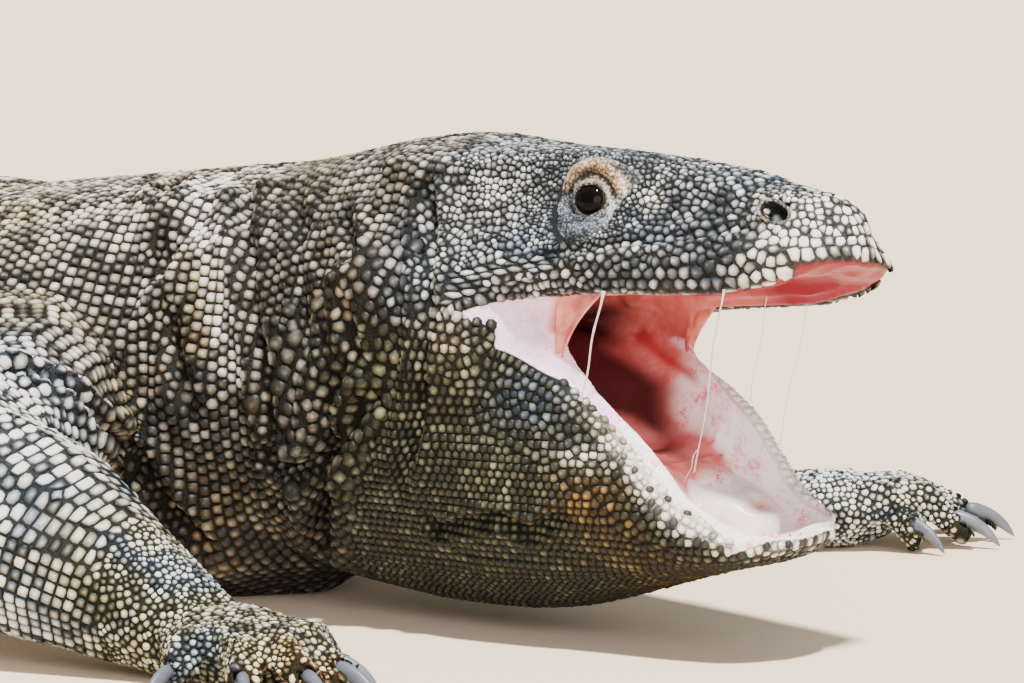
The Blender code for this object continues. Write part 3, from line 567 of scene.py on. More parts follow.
def scattered(surface, where, pitch, fixed=None, rounds=9):
    """(places, normals) spread evenly over part of the surface, pitch apart, by Lloyd's method."""
    which = np.flatnonzero(where)
    points, normals = surface.places[which], surface.normals[which]
    apart = pitch(points)
    wanted = int(np.sum(VOXEL**2 / (0.90 * apart**2)))
    chance = apart**-2
    picked = RANDOM.choice(len(points), wanted, replace=False, p=chance / chance.sum())
    site = points[picked]
    weight = apart**-4
    held = np.zeros((0, 3)) if fixed is None else fixed
    for _ in range(rounds):
        tree = tree_over(np.concatenate([site, held]))
        owner = np.array([tree.find(p)[1] for p in points])
        count = len(site) + len(held)
        total = np.bincount(owner, weight, count)[: len(site)]
        sums = [np.bincount(owner, weight * points[:, k], count)[: len(site)] for k in range(3)]
        full = total > 0
        site = np.stack(sums, 1)[full] / total[full, None]
    tree = tree_over(points)
    nearest = np.array([tree.find(p)[1] for p in site])
    return site, normals[nearest]


BARE_GAP, ADDED_GAP = 0.76, 0.88  # of the pitch: from any scale, and between those that fill gaps
CELL = 0.008  # of the grid in which near ones are looked up, wider than any pitch


def filled(sites, surface, where):
    """Adds a scale wherever the rows have left the skin bare."""
    tree = tree_over(sites.place)
    which = np.flatnonzero(where)
    found = [tree.find(p) for p in surface.places[which]]
    owner, gap = np.array([f[1] for f in found]), np.array([f[2] for f in found])
    pitch = sites.pitch[owner]
    bare = gap > BARE_GAP * pitch
    which, owner, gap, pitch = which[bare], owner[bare], gap[bare], pitch[bare]
    cells, added = {}, []
    for k in np.argsort(-gap / pitch + 0.04 * RANDOM.random(len(gap))):
        place = surface.places[which[k]]
        cell = tuple((place // CELL).astype(int))
        around = [
            other
            for step in np.ndindex(3, 3, 3)
            for other in cells.get(tuple(c + s - 1 for c, s in zip(cell, step)), ())
        ]
        if around and np.linalg.norm(np.array(around) - place, axis=1).min() < ADDED_GAP * pitch[k]:
            continue
        cells.setdefault(cell, []).append(place)
        added.append(k)
    new = sites.kept(owner[added])
    new.place, new.normal = surface.places[which[added]].copy(), surface.normals[which[added]].copy()
    return Sites.together([sites, new])


def thinned(sites, against, share):
    """Leaves out the sites that stand too near those of another group."""
    tree = tree_over(against.place)
    near = np.array([tree.find(p)[2] for p in sites.place])
    return sites.kept(near > share * sites.pitch)


def in_the_open(sites, surface):
    """Leaves out the sites in sockets and deep in folds, where the skin faces itself."""
    tree = surface_tree(surface.places, surface.mesh)
    clear = []
    for place, normal in zip(sites.place, sites.normal):
        start = Vector(place + normal * 0.0006)
        clear.append(tree.ray_cast(start, Vector(normal), OPEN_ABOVE)[0] is None)
    return sites.kept(np.array(clear))


def outlines(sites, lie, aside, longer, angles):
    """How far each scale reaches at each angle, to fill its cell between its neighbours, and the mean
    of that before it is made uneven."""
    tree = tree_over(sites.place)
    found = [tree.find_n(place, NEIGHBOURS + 1) for place in sites.place]
    neighbours = np.array([[other[1] for other in several[1:]] for several in found])
    normal, apart = sites.normal, sites.place[neighbours] - sites.place[:, None]
    ahead = np.einsum("nkc,nc->nk", apart, lie) / longer
    across = np.einsum("nkc,nc->nk", apart, aside) * longer
    facing = np.einsum("nkc,nc->nk", normal[neighbours], normal) > 0.2
    square = np.where(facing, ahead**2 + across**2, 1.0)
    reach = np.empty((len(sites), len(angles)))
    for k, angle in enumerate(angles):
        toward = ahead * np.cos(angle) + across * np.sin(angle)
        limit = np.where(toward > 1e-6, square / (2 * np.maximum(toward, 1e-6)), 1.0)
        reach[:, k] = np.minimum(limit.min(1), REACH_LIMIT * sites.pitch)
    mean = reach.mean(1, keepdims=True)
    blend = sites.round[:, None]
    rounder = np.minimum(reach, mean * (1.9 - 0.8 * np.minimum(1, blend / 0.25)))
    reach = (rounder * (1 - blend) + np.minimum(mean, rounder * 1.06) * blend) * (0.985 - 0.04 * blend)
    return reach * (1 + UNEVEN_REACH * RANDOM.standard_normal(reach.shape)), mean


def scale_mesh(name, sites, unwrap):
    """One mesh of domed scales: an outline on the skin, a shoulder and a top point for each."""
    count, sides = len(sites), SCALE_SIDES
    normal = sites.normal
    lie = unit(sites.lie - normal * np.sum(sites.lie * normal, 1, keepdims=True))
    aside = np.cross(normal, lie)
    longer = np.sqrt(sites.ratio)[:, None]
    angles = 2 * np.pi * np.arange(sides) / sides
    reach, mean = outlines(sites, lie, aside, longer, angles)
    height = sites.height * np.minimum(1.0, mean[:, 0] / (0.42 * sites.pitch))
    height *= 1 + UNEVEN_HEIGHT * RANDOM.standard_normal(count)
    along, sideways = lie * longer, aside / longer
    cosines, sines = np.cos(angles)[None, :, None], np.sin(angles)[None, :, None]
    spread = (along[:, None] * cosines + sideways[:, None] * sines) * reach[:, :, None]
    root = sites.place[:, None]
    up = normal[:, None] * height[:, None, None]
    base = root + spread - normal[:, None] * ROOT_DEPTH
    lean = lie[:, None] * (mean[:, :, None] * LEAN)
    shoulder = root + spread * SHOULDER_OUT + up * SHOULDER_UP + lean * 0.5
    apex = root + up + lean
    points = np.concatenate([base, shoulder, apex], 1)
    points[..., 2] = np.maximum(points[..., 2], 0.0)
    per = 2 * sides + 1
    i = np.arange(sides)
    j = (i + 1) % sides
    quads = np.stack([i, j, sides + j, sides + i], 1)
    fans = np.stack([sides + i, sides + j, np.full(sides, 2 * sides)], 1)
    offset = (np.arange(count) * per)[:, None, None]
    quads = (quads[None] + offset).reshape(count, -1)
    fans = (fans[None] + offset).reshape(count, -1)
    corners = np.concatenate([quads, fans], 1).ravel().astype(np.int32)
    sizes = np.tile(np.repeat([4, 3], sides), count).astype(np.int32)
    starts = np.concatenate([[0], np.cumsum(sizes)[:-1]]).astype(np.int32)
    rise = np.concatenate([np.zeros(sides), np.full(sides, SHOULDER_RISE), [1.0]])
    mesh = bpy.data.meshes.new(name)
    mesh.vertices.add(count * per)
    mesh.vertices.foreach_set("co", points.astype(np.float32).ravel())
    mesh.loops.add(len(corners))
    mesh.loops.foreach_set("vertex_index", corners)
    mesh.polygons.add(len(sizes))
    mesh.polygons.foreach_set("loop_start", starts)
    mesh.update(calc_edges=True)
    mesh.polygons.foreach_set("use_smooth", np.ones(len(sizes), bool))
    # rise, from 0 at the root to 1 on top, is painted as shade at the root and a highlight on top.
    write_attribute(mesh, "rise", np.tile(rise, count))
    write_attribute(mesh, "tint", np.repeat(RANDOM.random(count), per))
    for mask, values in markings(sites.place, sites.normal).items():
        write_attribute(mesh, mask, np.repeat(values, per))
    where = unwrap(sites.place)
    where = (where - where.min(0)) / np.maximum(np.ptp(where, axis=0), 1e-9) * 0.98 + 0.01
    patch = np.stack([np.cos(angles), np.sin(angles)], 1) * UV_PATCH
    local = np.concatenate([patch, patch * 0.74, [[0, 0]]])
    uv = (where[:, None] + local[None]).reshape(-1, 2)
    layer = mesh.uv_layers.new(name="OFBake")
    layer.data.foreach_set("uv", uv[corners].astype(np.float32).ravel())
    return linked(name, mesh)


# --- markings: where each colour of the animal lies ---
# Patches of the head by colour: middle and half-size along x and z in the head's frame, strength.
PATCHES = {
    "blue": [(0.046, 0.020, 0.014, 0.011, 0.9), (0.052, -0.039, 0.018, 0.010, 0.8),
             (0.103, 0.030, 0.012, 0.007, 0.35), (0.150, 0.058, 0.020, 0.008, 0.4),
             (0.072, -0.052, 0.010, 0.006, 0.4)],
    "pale": [(0.048, 0.006, 0.018, 0.006, 0.55), (0.098, 0.022, 0.022, 0.0035, 0.45),
             (0.096, 0.046, 0.005, 0.005, 0.9), (0.018, 0.036, 0.020, 0.016, 0.50),
             (0.178, 0.038, 0.014, 0.014, 0.55), (0.158, 0.046, 0.011, 0.008, 0.45),
             (0.080, -0.059, 0.010, 0.005, 0.9), (0.006, 0.012, 0.007, 0.020, 0.3),
             (0.016, -0.016, 0.014, 0.012, 0.35), (0.122, 0.008, 0.010, 0.004, 0.5),
             (0.072, 0.008, 0.006, 0.004, 0.4)],
    "ochre": [(0.078, -0.078, 0.010, 0.008, 0.9), (0.090, -0.071, 0.014, 0.004, 0.5),
              (0.020, -0.022, 0.008, 0.010, 0.4), (0.152, 0.050, 0.004, 0.003, 0.7)],
}
NECK_RIDGE = [(0.392, -0.020, 0.186), (0.3999, -0.040, 0.180), (0.4306, -0.077, 0.155),
              (0.4476, -0.086, 0.109)]


def near_line(points, line):
    line = np.array(line)
    distance = np.full(len(points), 1.0)
    for a, b in zip(line, line[1:]):
        distance = np.minimum(distance, from_segment(points, a, b)[1])
    return distance


def markings(points, normals):
    """Masks from 0 to 1 by name, the same for the skin and for the scales over it."""
    x, y, z, side, lip, rim = in_jaws(points)
    upper = eased(-0.012, 0.012, z - (lip + rim) / 2)
    near_head = eased(-0.040, 0.004, x)
    masks = {}
    for name, patches in PATCHES.items():
        total = np.zeros(len(points))
        for middle_x, middle_z, half_x, half_z, strength in patches:
            gap = ((x - middle_x) / half_x) ** 2 + ((z - middle_z) / half_z) ** 2
            total = np.maximum(total, strength * np.exp(-0.8 * gap))
        masks[name] = total * eased(0.006, 0.020, side) * eased(-0.03, 0.0, x)
    snout = eased(0.140, 0.182, x + 0.25 * (0.045 - z)) * upper
    edge = eased(0.015, 0.009, rim - z) * eased(0.078, 0.105, x + 0.03 * (y > 0)) * (z < rim + 0.003)
    ridge = eased(0.0130, 0.0060, near_line(points, NECK_RIDGE))
    masks["pale"] = np.clip(masks["pale"] + 0.95 * snout + 0.95 * edge + 0.70 * ridge, 0, 1)
    # A painted pool of sunlight over the top of the body behind the neck.
    masks["painted_sunlight"] = eased(0.46, 0.40, points[:, 0]) * eased(0.10, 0.15, points[:, 2])
    masks["edge"] = edge * (y < 0.02)
    gumline = eased(0.0105, 0.0060, rim - z) * eased(0.055, 0.085, x + 0.02 * (y > 0))
    masks["gumline"] = gumline * (z < rim + 0.004) * np.where(y > 0.02, 1.0, 0.55)
    masks["head"] = near_head * upper
    masks["jaw"] = eased(-0.075, -0.020, x) * (1 - upper) * eased(-0.004, 0.004, points[:, 2])
    masks["chin"] = masks["jaw"] * eased(0.055, 0.095, x) * eased(0.012, 0.030, rim - z)
    beyond = eased(1.40, 2.0, trunk_out(points)) * eased(0.08, 0.12, np.abs(points[:, 1]))
    masks["limb"] = beyond * (points[:, 0] > TAIL_SIDE_X)
    # Painted light: the tone is lifted where the surface faces up.
    masks["top"] = eased(0.25, 0.9, normals[:, 2])
    # Painted shade: the tone is lowered low on the body, off the limbs.
    masks["under"] = eased(0.120, 0.020, points[:, 2]) * (1 - masks["limb"])
    return masks


# --- regions and rows ---
def trunk_out(points):
    """How far out of the trunk a point lies: about 1 on its surface, more on the limbs."""
    px, py, pz = points.T
    half = keyed(TRUNK_HALF, px)
    middle = keyed(TRUNK_TOP, px) / 2
    return np.sqrt((py / half) ** 2 + ((pz - middle) / (middle + 0.003)) ** 2)


def limb_of(points):
    """Index of the limb on whose side a point lies."""
    return np.where(points[:, 0] > 0, 0, 2) + np.where(points[:, 1] > 0, 1, 0)


def bones(points, joints):
    """For each bone: its length and direction, each point's place along it and its way from it."""
    for a, b in zip(joints, joints[1:]):
        a, b = np.array(a), np.array(b)
        length = np.linalg.norm(b - a)
        way = (b - a) / length
        along = (points - a) @ way
        yield length, way, along, points - a - np.clip(along, 0, length)[:, None] * way


def along_limb(points, joints):
    """Distance along a bent limb, blended softly from one bone to the next."""
    total, weights, start = 0.0, 0.0, 0.0
    for length, _, along, aside in bones(points, joints):
        distance = np.linalg.norm(aside, axis=1)
        weight = np.exp(-((distance / 0.018) ** 2)) + 1e-12
        total = total + weight * (start + along)
        weights = weights + weight
        start += length
    return total / weights


def round_limb(points, joints):
    """Angle round the bone that a point is nearest to."""
    best = np.full(len(points), 1e9)
    angle = np.zeros(len(points))
    for _, way, _, arm in bones(points, joints):
        aside = unit(np.cross(way, [0, 0, 1]))
        up = np.cross(aside, way)
        distance = np.linalg.norm(arm, axis=1)
        nearer = distance < best
        angle = np.where(nearer, np.arctan2(arm @ up, arm @ aside), angle)
        best = np.minimum(best, distance)
    return angle


def body_distance(points):
    """Distance along the neck, trunk and tail, from the head backwards, and the middle line's y."""
    px = points[:, 0]
    near_head = eased(0.44, 0.53, px)
    behind = -(px * (1 - near_head) + (HEAD_PLACE.x + ahead_in_head(points)) * near_head)
    path = tail_path()
    middle_y = np.interp(px, [0.35, 0.455, 0.545, 0.61], [0.0, -0.010, -0.026, -0.040])
    on_tail = px < TAIL_ROOT_X + 0.02
    tail = points[on_tail][:, :2]
    if len(tail):
        nearest = np.argmin(((tail[:, None] - path[None]) ** 2).sum(2), 1)
        nearest = np.clip(nearest, 1, len(path) - 2)
        way = unit(path[nearest + 1] - path[nearest - 1])
        step = TAIL_LENGTH / (len(path) - 1)
        past = np.sum((tail - path[nearest]) * way, 1)
        behind[on_tail] = -TAIL_ROOT_X + nearest * step + past
        aside = (tail - path[nearest])[:, 1] * way[:, 0] - (tail - path[nearest])[:, 0] * way[:, 1]
        middle_y[on_tail] = tail[:, 1] + aside
    return behind, middle_y


def round_body(points):
    behind, middle_y = body_distance(points)
    height = np.interp(behind, [-0.6, -0.40, 0.44, 1.0, 1.76], [0.12, 0.09, 0.065, 0.035, 0.004])
    return np.arctan2(-(points[:, 2] - height), points[:, 1] - middle_y)


ROW_PITCH = [(-0.62, 0.0046), (-0.50, 0.0050), (-0.30, 0.0052), (-0.15, 0.0062), (0.44, 0.0066),
             (1.0, 0.0070), (1.76, 0.0046)]


def row_number(behind):
    """Counts the rows from the head backwards, so that rows keep their pitch at each place."""
    grid = np.linspace(-0.75, 1.80, 2000)
    steps = np.diff(grid) / keyed(ROW_PITCH, (grid[1:] + grid[:-1]) / 2)
    return np.interp(behind, grid, np.concatenate([[0], np.cumsum(steps)]))


def body_spacing(points, normals=None):
    behind, _ = body_distance(points)
    low = eased(0.06, 0.015, points[:, 2])
    return keyed(ROW_PITCH, behind) * (1.0 + 0.25 * low) * 0.98


NONE, BODY, LIMB, FOOT, HEAD, JAW = range(6)


def regions(surface):
    """Which part of the coat each point of the surface belongs to, as a number."""
    points = surface.places
    x, _, z, side, lip, rim = in_jaws(points)
    mouth = in_mouth(points)
    middle = (lip + rim) / 2
    rear = np.where(z > middle, -0.004, np.interp(z, [-0.12, -0.03], [-0.062, -0.006]))
    head = (x > rear) & (points[:, 2] > 0.004) & (side < 0.10) & (trunk_out(points) < 5)
    far_arm = (np.abs(points[:, 1]) > 0.125) & (points[:, 2] < 0.12)
    head &= ~far_arm
    region = np.full(len(points), BODY)
    beyond = (trunk_out(points) > 1.10) & (np.abs(points[:, 1]) > 0.09)
    region[beyond & (points[:, 0] > TAIL_SIDE_X)] = LIMB
    foot = (region == LIMB) & (distance_to_palm(points) < 0.060)
    region[foot] = FOOT
    region[head & (z > middle)] = HEAD
    region[head & (z <= middle)] = JAW
    region[mouth > -0.0004] = NONE
    region[points[:, 2] < 0.0012] = NONE
    return region


def distance_to_palm(points):
    palms = np.array([joints[3] for joints in LIMBS.values()])
    apart = points - palms[limb_of(points)]
    apart[:, 2] *= 0.5
    return np.linalg.norm(apart, axis=1)


def from_eye(points):
    """Distance ahead of and above the middle of the nearer eye, in the head's frame."""
    x, y, z = to_head(points)
    return x - EYES_IN_HEAD.x, z - EYES_IN_HEAD.z, np.abs(y)


def lid_reach(angle):
    """How far from the eye's middle its lids and the bare brow reach, by angle from straight ahead."""
    keys = [(-180, 0.0135), (-135, 0.0165), (-90, 0.0205), (-45, 0.0165), (-15, 0.0130), (10, 0.0150),
            (30, 0.0245), (60, 0.0195), (90, 0.0175), (130, 0.0180), (160, 0.0150), (180, 0.0135)]
    return keyed(keys, np.degrees(angle))


def on_lids(points):
    """1 where the lids and the bare brow lie, falling to 0 beyond their edge."""
    ahead, up, side = from_eye(points)
    distance = np.hypot(ahead, up) / lid_reach(np.arctan2(up, ahead))
    return np.where(side > 0.018, eased(1.15, 0.85, distance), 0.0)


def head_pitch(points):
    x, _, z = to_head(points)
    ahead, up, side = from_eye(points)
    eye = np.hypot(ahead, up)
    pitch = np.interp(x, [0.0, 0.05, 0.10, 0.135, SNOUT], [0.0037, 0.0037, 0.0043, 0.0055, 0.0056])
    near_eye = eased(0.034, 0.018, eye) * eased(0.020, 0.032, side)
    nostril = eased(3.0, 1.5, from_nostril(points))
    near_lip = eased(0.030, 0.014, z - keyed(UPPER_LIP, x))
    return pitch * (1 - 0.30 * near_eye) * (1 - 0.25 * nostril) * (1 + 0.22 * near_lip)


def edge_rows(tree, keys, half, front, front_depth, back, rises):
    """Rows of scales along the edge of a jaw: (places, normals, spacing of each)."""
    places, spacings, clear = [], [], []
    for row, (rise, spacing) in enumerate(rises):
        for side in (-1, 1):
            turn = np.linspace(0, math.pi / 2, 30)
            x = np.concatenate([np.linspace(back, front - front_depth, 60)[:-1],
                                front - front_depth * (1 - np.sin(turn))])
            line = np.array([
                from_head(u, side * float(half(u)), float(keyed(keys, u)) + rise) for u in x
            ])
            length = np.concatenate([[0], np.cumsum(np.linalg.norm(np.diff(line, axis=0), axis=1))])
            at = np.arange(0.5 * spacing * (row % 2), length[-1], spacing)
            places.append(points_along(line, length, at))
            spacings.append(np.full(len(at), spacing))
            clear.append(np.full(len(at), (0.48 + 0.85 * row) * spacing))
    places, clear = np.concatenate(places), np.concatenate(clear)
    away = np.array(HEAD_TURN @ Vector((0, 0, 1 if rises[0][0] > 0 else -1)))
    for _ in range(5):
        places = np.array([tree.find_nearest(Vector(p))[0] for p in places])
        short = np.clip(in_mouth(places) + clear, 0, 0.004)
        places = places + away * short[:, None]
    found = [tree.find_nearest(Vector(p))[:2] for p in places]
    return *(np.array(values) for values in zip(*found)), np.concatenate(spacings)


# Rows along the edges of the jaws: height over the edge, and how far apart the scales are.
LIP_ROWS = ((0.0034, 0.0062), (0.0090, 0.0058))
RIM_ROWS = ((-0.0024, 0.0036), (-0.0066, 0.0044), (-0.0110, 0.0048), (-0.0155, 0.0048))
STREAM_SLOPE = 0.30  # rise of the long scales behind the mouth's corner
HEAD_BACK = np.array(HEAD_TURN @ Vector((-1, 0, 0)))  # the way that the head's scales lie
PLATES_FACE = [np.array([0.75, -0.10, 0.65])] * 2 + [np.array([0.0, 0.0, 1.0])] * 2  # limb by limb


def on_stream(points):
    x, _, z = to_head(points)
    across = z - STREAM_SLOPE * (x - 0.040) - 0.0045
    return (x > 0.016) & (x < 0.068) & (np.abs(across) < 0.0075) & (z > keyed(UPPER_LIP, x) + 0.006)


def evenly(spacing):
    return lambda points, normals=None: np.full(len(points), spacing)


def off_openings(points, clear):
    """True outside the lids and the nostrils, where clear is how far out of a nostril to stay."""
    return (on_lids(points) < 0.5) & (from_nostril(points) > clear)


def head_scales(surface, region, tree):
    """The scales over the mouth: lips, the long rows behind its corners, then all the others."""
    points = surface.places
    x, y, z = to_head(points)
    place, normal, pitch = edge_rows(tree, UPPER_LIP, upper_half, SNOUT, UPPER_FRONT, 0.030, LIP_ROWS)
    lips = Sites(place, normal, HEAD_BACK, pitch, height=0.0011, roundness=0.10)
    stream = []
    for side in (-1, 1):
        where = (region == HEAD) & on_stream(points) & (y * side > 0)
        number = (z - STREAM_SLOPE * x) / STREAM_ROW
        place, normal = rows(surface, number, ahead_in_head, evenly(STREAM_LENGTH), where)
        stream.append(Sites(place, normal, HEAD_BACK, STREAM_PITCH, LOW_SCALE, roundness=0.1, ratio=2.4))
    lips = Sites.together([lips, thinned(Sites.together(stream), lips, 0.45)])
    free = (region == HEAD) & off_openings(points, 1.15) & ~on_stream(points)
    place, normal = scattered(surface, free, head_pitch, lips.place)
    pitch, tall = head_pitch(place), np.interp(ahead_in_head(place), [0.08, 0.15], [0.28, 0.17])
    others = Sites(place, normal, HEAD_BACK, pitch, tall * pitch, roundness=0.12)
    return Sites.together([lips, thinned(others, lips, 0.58)])


def jaw_scales(surface, region, tree, head):
    """The scales of the lower jaw: rows along its rim, then rows counted down from the rim."""
    x, y, z = to_head(surface.places)
    place, normal, pitch = edge_rows(tree, LOWER_RIM, lower_half, JAW_TIP, LOWER_FRONT, 0.016, RIM_ROWS)
    edge = thinned(Sites(place, normal, HEAD_BACK, pitch, LOW_SCALE, roundness=0.25), head, 0.55)
    depth = -z + np.clip(0.82 * lower_half(np.minimum(x, 0.12)) - np.abs(y), 0, None)
    halves = []
    for side in (-1, 1):
        where = (region == JAW) & (y * side > -0.0015)
        place, normal = rows(surface, depth / JAW_ROW, ahead_in_head, evenly(JAW_PITCH), where)
        halves.append(Sites(place, normal, HEAD_BACK, JAW_PITCH, LOW_SCALE, roundness=0.22))
    jaw = Sites.together([halves[0], thinned(halves[1], halves[0], 0.60)])
    return Sites.together([edge, thinned(jaw, edge, 0.85)])


def body_scales(surface, where):
    """Rows across the neck, the trunk and the tail, lower where they lie on the floor."""
    behind, _ = body_distance(surface.places)
    place, normal = rows(surface, row_number(behind), round_body, body_spacing, where)
    pitch = body_spacing(place)
    height = pitch * np.interp(place[:, 2], [0.0, 0.05], [0.12, 0.29])
    return Sites(place, normal, (-1, 0, 0), pitch, height, roundness=0.30)


def limb_scales(surface, where, joints, fore):
    """Rows across one limb. The side that faces fore has the wide plates."""
    full = np.sum(np.linalg.norm(np.diff(np.array(joints), axis=0), axis=1))
    grid = np.linspace(-0.1, full + 0.1, 300)
    pitch = np.interp(grid, [0.10, full - 0.05], [0.0064, 0.0048])
    number = np.interp(along_limb(surface.places, joints), grid, np.cumsum((grid[1] - grid[0]) / pitch))

    def wide(points, normals):
        """Plates in front of the forearm are longer across than the scales behind it."""
        reached = along_limb(points, joints)
        front = eased(0.45, 0.85, unit(normals) @ fore) * eased(0.16, 0.20, reached)
        front = front * eased(0.285, 0.255, reached)
        return 1.04 * np.interp(reached, grid, pitch) * (1 + 0.9 * front)

    place, normal = rows(surface, number, lambda points: round_limb(points, joints), wide, where)
    way = unit(np.array(joints[2]) - np.array(joints[1]))
    short, long = np.interp(along_limb(place, joints), grid, pitch), wide(place, normal)
    flat = eased(1.1, 1.7, long / short)
    return Sites(place, normal, way, np.sqrt(short * long), short * (0.25 - 0.07 * flat),
                 0.25 * (1 - flat), short / long)


def grow_scales(surface):
    """Every scale's root. Head and jaw come first, and each later group leaves out what is too near."""
    region, points = regions(surface), surface.places
    tree = surface_tree(points, surface.mesh)
    head = head_scales(surface, region, tree)
    head = Sites.together([head, thinned(jaw_scales(surface, region, tree, head), head, 0.60)])
    body = thinned(body_scales(surface, region == BODY), head, 0.66)
    limbs = []
    for index, joints in enumerate(LIMBS.values()):
        mine = (region == LIMB) & (limb_of(points) == index)
        limbs.append(limb_scales(surface, mine, joints, PLATES_FACE[index]))
    limb = thinned(Sites.together(limbs), body, 0.62)
    place, normal = scattered(surface, region == FOOT, evenly(FOOT_PITCH), rounds=7)
    foot = Sites(place, normal, (1, 0, 0), FOOT_PITCH, LOW_SCALE, roundness=0.35)
    foot = thinned(foot, limb, 0.60)
    groups = [head, body, limb, foot]
    everything = Sites.together(groups)
    everything.kind = np.repeat(np.arange(4.0), [len(group) for group in groups])
    everything = filled(everything, surface, (region != NONE) & off_openings(points, 1.22))
    openings = np.array([from_head(NOSTRIL[0], side * NOSTRIL[1], NOSTRIL[2]) for side in (-1, 1)])
    beside = np.linalg.norm(everything.place[:, None] - openings[None], axis=2).min(1)
    everything = everything.kept((from_nostril(everything.place) > 1.10) & (beside > 0.0068))
    return in_the_open(everything, surface)


def finish_piece(piece, finish):
    piece.data.materials.clear()
    piece.data.materials.append(finish)
    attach(piece, "root")
    return piece


# Pieces of the body's coat, by their distance behind the middle of the trunk.
BODY_SPANS = {"neck": (-1.0, -0.425), "shoulder": (-0.425, -0.25), "trunk_front": (-0.25, 0.0),
              "trunk_rear": (0.0, 0.25), "hips": (0.25, 0.55), "tail": (0.55, 9.0)}


def scale_pieces(surface, finish):
    """The coat in pieces, each unwrapped along and round the part that it covers."""
    everything = grow_scales(surface)
    kind = everything.kind
    behind, _ = body_distance(everything.place)
    _, _, z = to_head(everything.place)
    upper = z > -0.012
    groups = {"scales_head": (kind == 0) & upper, "scales_jaw": (kind == 0) & ~upper}
    for name, (low, high) in BODY_SPANS.items():
        groups["scales_" + name] = (kind == 1) & (behind >= low) & (behind < high)
    for index, name in enumerate(LIMBS):
        groups["scales_" + name] = (kind >= 2) & (limb_of(everything.place) == index)

    def unwrap_body(points):
        return np.stack([body_distance(points)[0], round_body(points)], 1)

    def unwrap_jaw(points, flip, middle):
        x, y, z = to_head(points)
        return np.stack([x, np.arctan2(y, flip * z - middle)], 1)

    unwraps = {"scales_head": lambda p: unwrap_jaw(p, 1, 0.01),
               "scales_jaw": lambda p: unwrap_jaw(p, -1, 0.05)}
    for name, joints in LIMBS.items():
        unwraps["scales_" + name] = lambda p, j=joints: np.stack([along_limb(p, j), round_limb(p, j)], 1)
    for name, which in groups.items():
        piece = scale_mesh(name, everything.kept(which), unwraps.get(name, unwrap_body))
        finish_piece(piece, finish)


# --- materials ---
class Nodes:
    """Short names for the nodes of one material or group."""

    def __init__(self, tree):
        self.tree = tree

    def add(self, kind, **settings):
        node = self.tree.nodes.new("ShaderNode" + kind)
        for name, value in settings.items():
            setattr(node, name, value)
        return node

    def link(self, source, target):
        self.tree.links.new(source, target)

    def give(self, socket, value):
        """Links a socket, or sets its constant."""
        if isinstance(value, bpy.types.NodeSocket):
            self.link(value, socket)
        else:
            socket.default_value = value

    def fed(self, node, **inputs):
        for name, value in inputs.items():
            self.give(node.inputs[name.replace("_", " ")], value)
        return node

    def texture(self, kind, **inputs):
        coordinates = self.add("TexCoord").outputs["Object"]
        return self.fed(self.add(kind), Vector=coordinates, **inputs)

    def mask(self, name):
        return self.add("Attribute", attribute_name=name).outputs["Fac"]

    def noise(self, scale, detail=3.0, rough=0.55):
        return self.texture("TexNoise", Scale=scale, Detail=detail, Roughness=rough).outputs["Fac"]

    def math(self, operation, *values):
        node = self.add("Math", operation=operation)
        for socket, value in zip(node.inputs, values):
            self.give(socket, value)
        return node.outputs[0]

    def summed(self, *terms):
        """Sum of (value, factor) pairs."""
        total = 0.0
        for value, factor in terms:
            total = self.math("MULTIPLY_ADD", value, factor, total)
        return total

    def ramp(self, value, stops):
        node = self.add("ValToRGB")
        points = node.color_ramp.elements
        while len(points) < len(stops):
            points.new(0.5)
        for point, (at, colour) in zip(points, stops):
            point.position = at
            point.color = (*colour, 1)
        self.link(value, node.inputs[0])
        return node.outputs["Color"]

    def grey(self, value, low, high):
        """0 below low and 1 above high."""
        return self.fed(self.add("MapRange"), Value=value, From_Min=low, From_Max=high).outputs[0]

    def mix(self, factor, first, second):
        node = self.add("Mix", data_type="RGBA")
        for index, value in ((0, factor), (6, first), (7, second)):
            self.give(node.inputs[index], (*value, 1) if isinstance(value, tuple) else value)
        return node.outputs[2]


# Colours by tone, at these five tones. The lowest stand mostly for painted shade in crevices and at the
# scales' roots, the highest also for the painted highlight on scale tops.
TONES = (0.0, 0.28, 0.52, 0.76, 1.0)
RAMPS = {
    "body": [(0.006, 0.006, 0.005), (0.036, 0.034, 0.028), (0.135, 0.125, 0.104),
             (0.33, 0.300, 0.255), (0.70, 0.63, 0.55)],
    "head": [(0.005, 0.007, 0.008), (0.032, 0.038, 0.045), (0.120, 0.133, 0.143),
             (0.42, 0.43, 0.415), (0.88, 0.85, 0.78)],
    "jaw": [(0.005, 0.006, 0.003), (0.030, 0.031, 0.017), (0.100, 0.096, 0.056),
            (0.27, 0.255, 0.175), (0.68, 0.64, 0.51)],
    "chin": [(0.008, 0.005, 0.002), (0.050, 0.032, 0.009), (0.175, 0.108, 0.028),
             (0.38, 0.29, 0.13), (0.72, 0.64, 0.44)],
    "limb": [(0.007, 0.009, 0.010), (0.075, 0.088, 0.098), (0.27, 0.295, 0.305),
             (0.56, 0.56, 0.53), (0.84, 0.80, 0.74)],
    "blue": [(0.003, 0.006, 0.011), (0.018, 0.034, 0.062), (0.058, 0.100, 0.160),
             (0.20, 0.28, 0.36), (0.60, 0.68, 0.72)],
    "pale": [(0.016, 0.016, 0.014), (0.14, 0.135, 0.12), (0.46, 0.44, 0.40),
             (0.76, 0.73, 0.67), (0.92, 0.89, 0.84)],
    "ochre": [(0.020, 0.010, 0.003), (0.13, 0.070, 0.018), (0.42, 0.235, 0.075),
              (0.66, 0.44, 0.21), (0.86, 0.72, 0.50)],
}


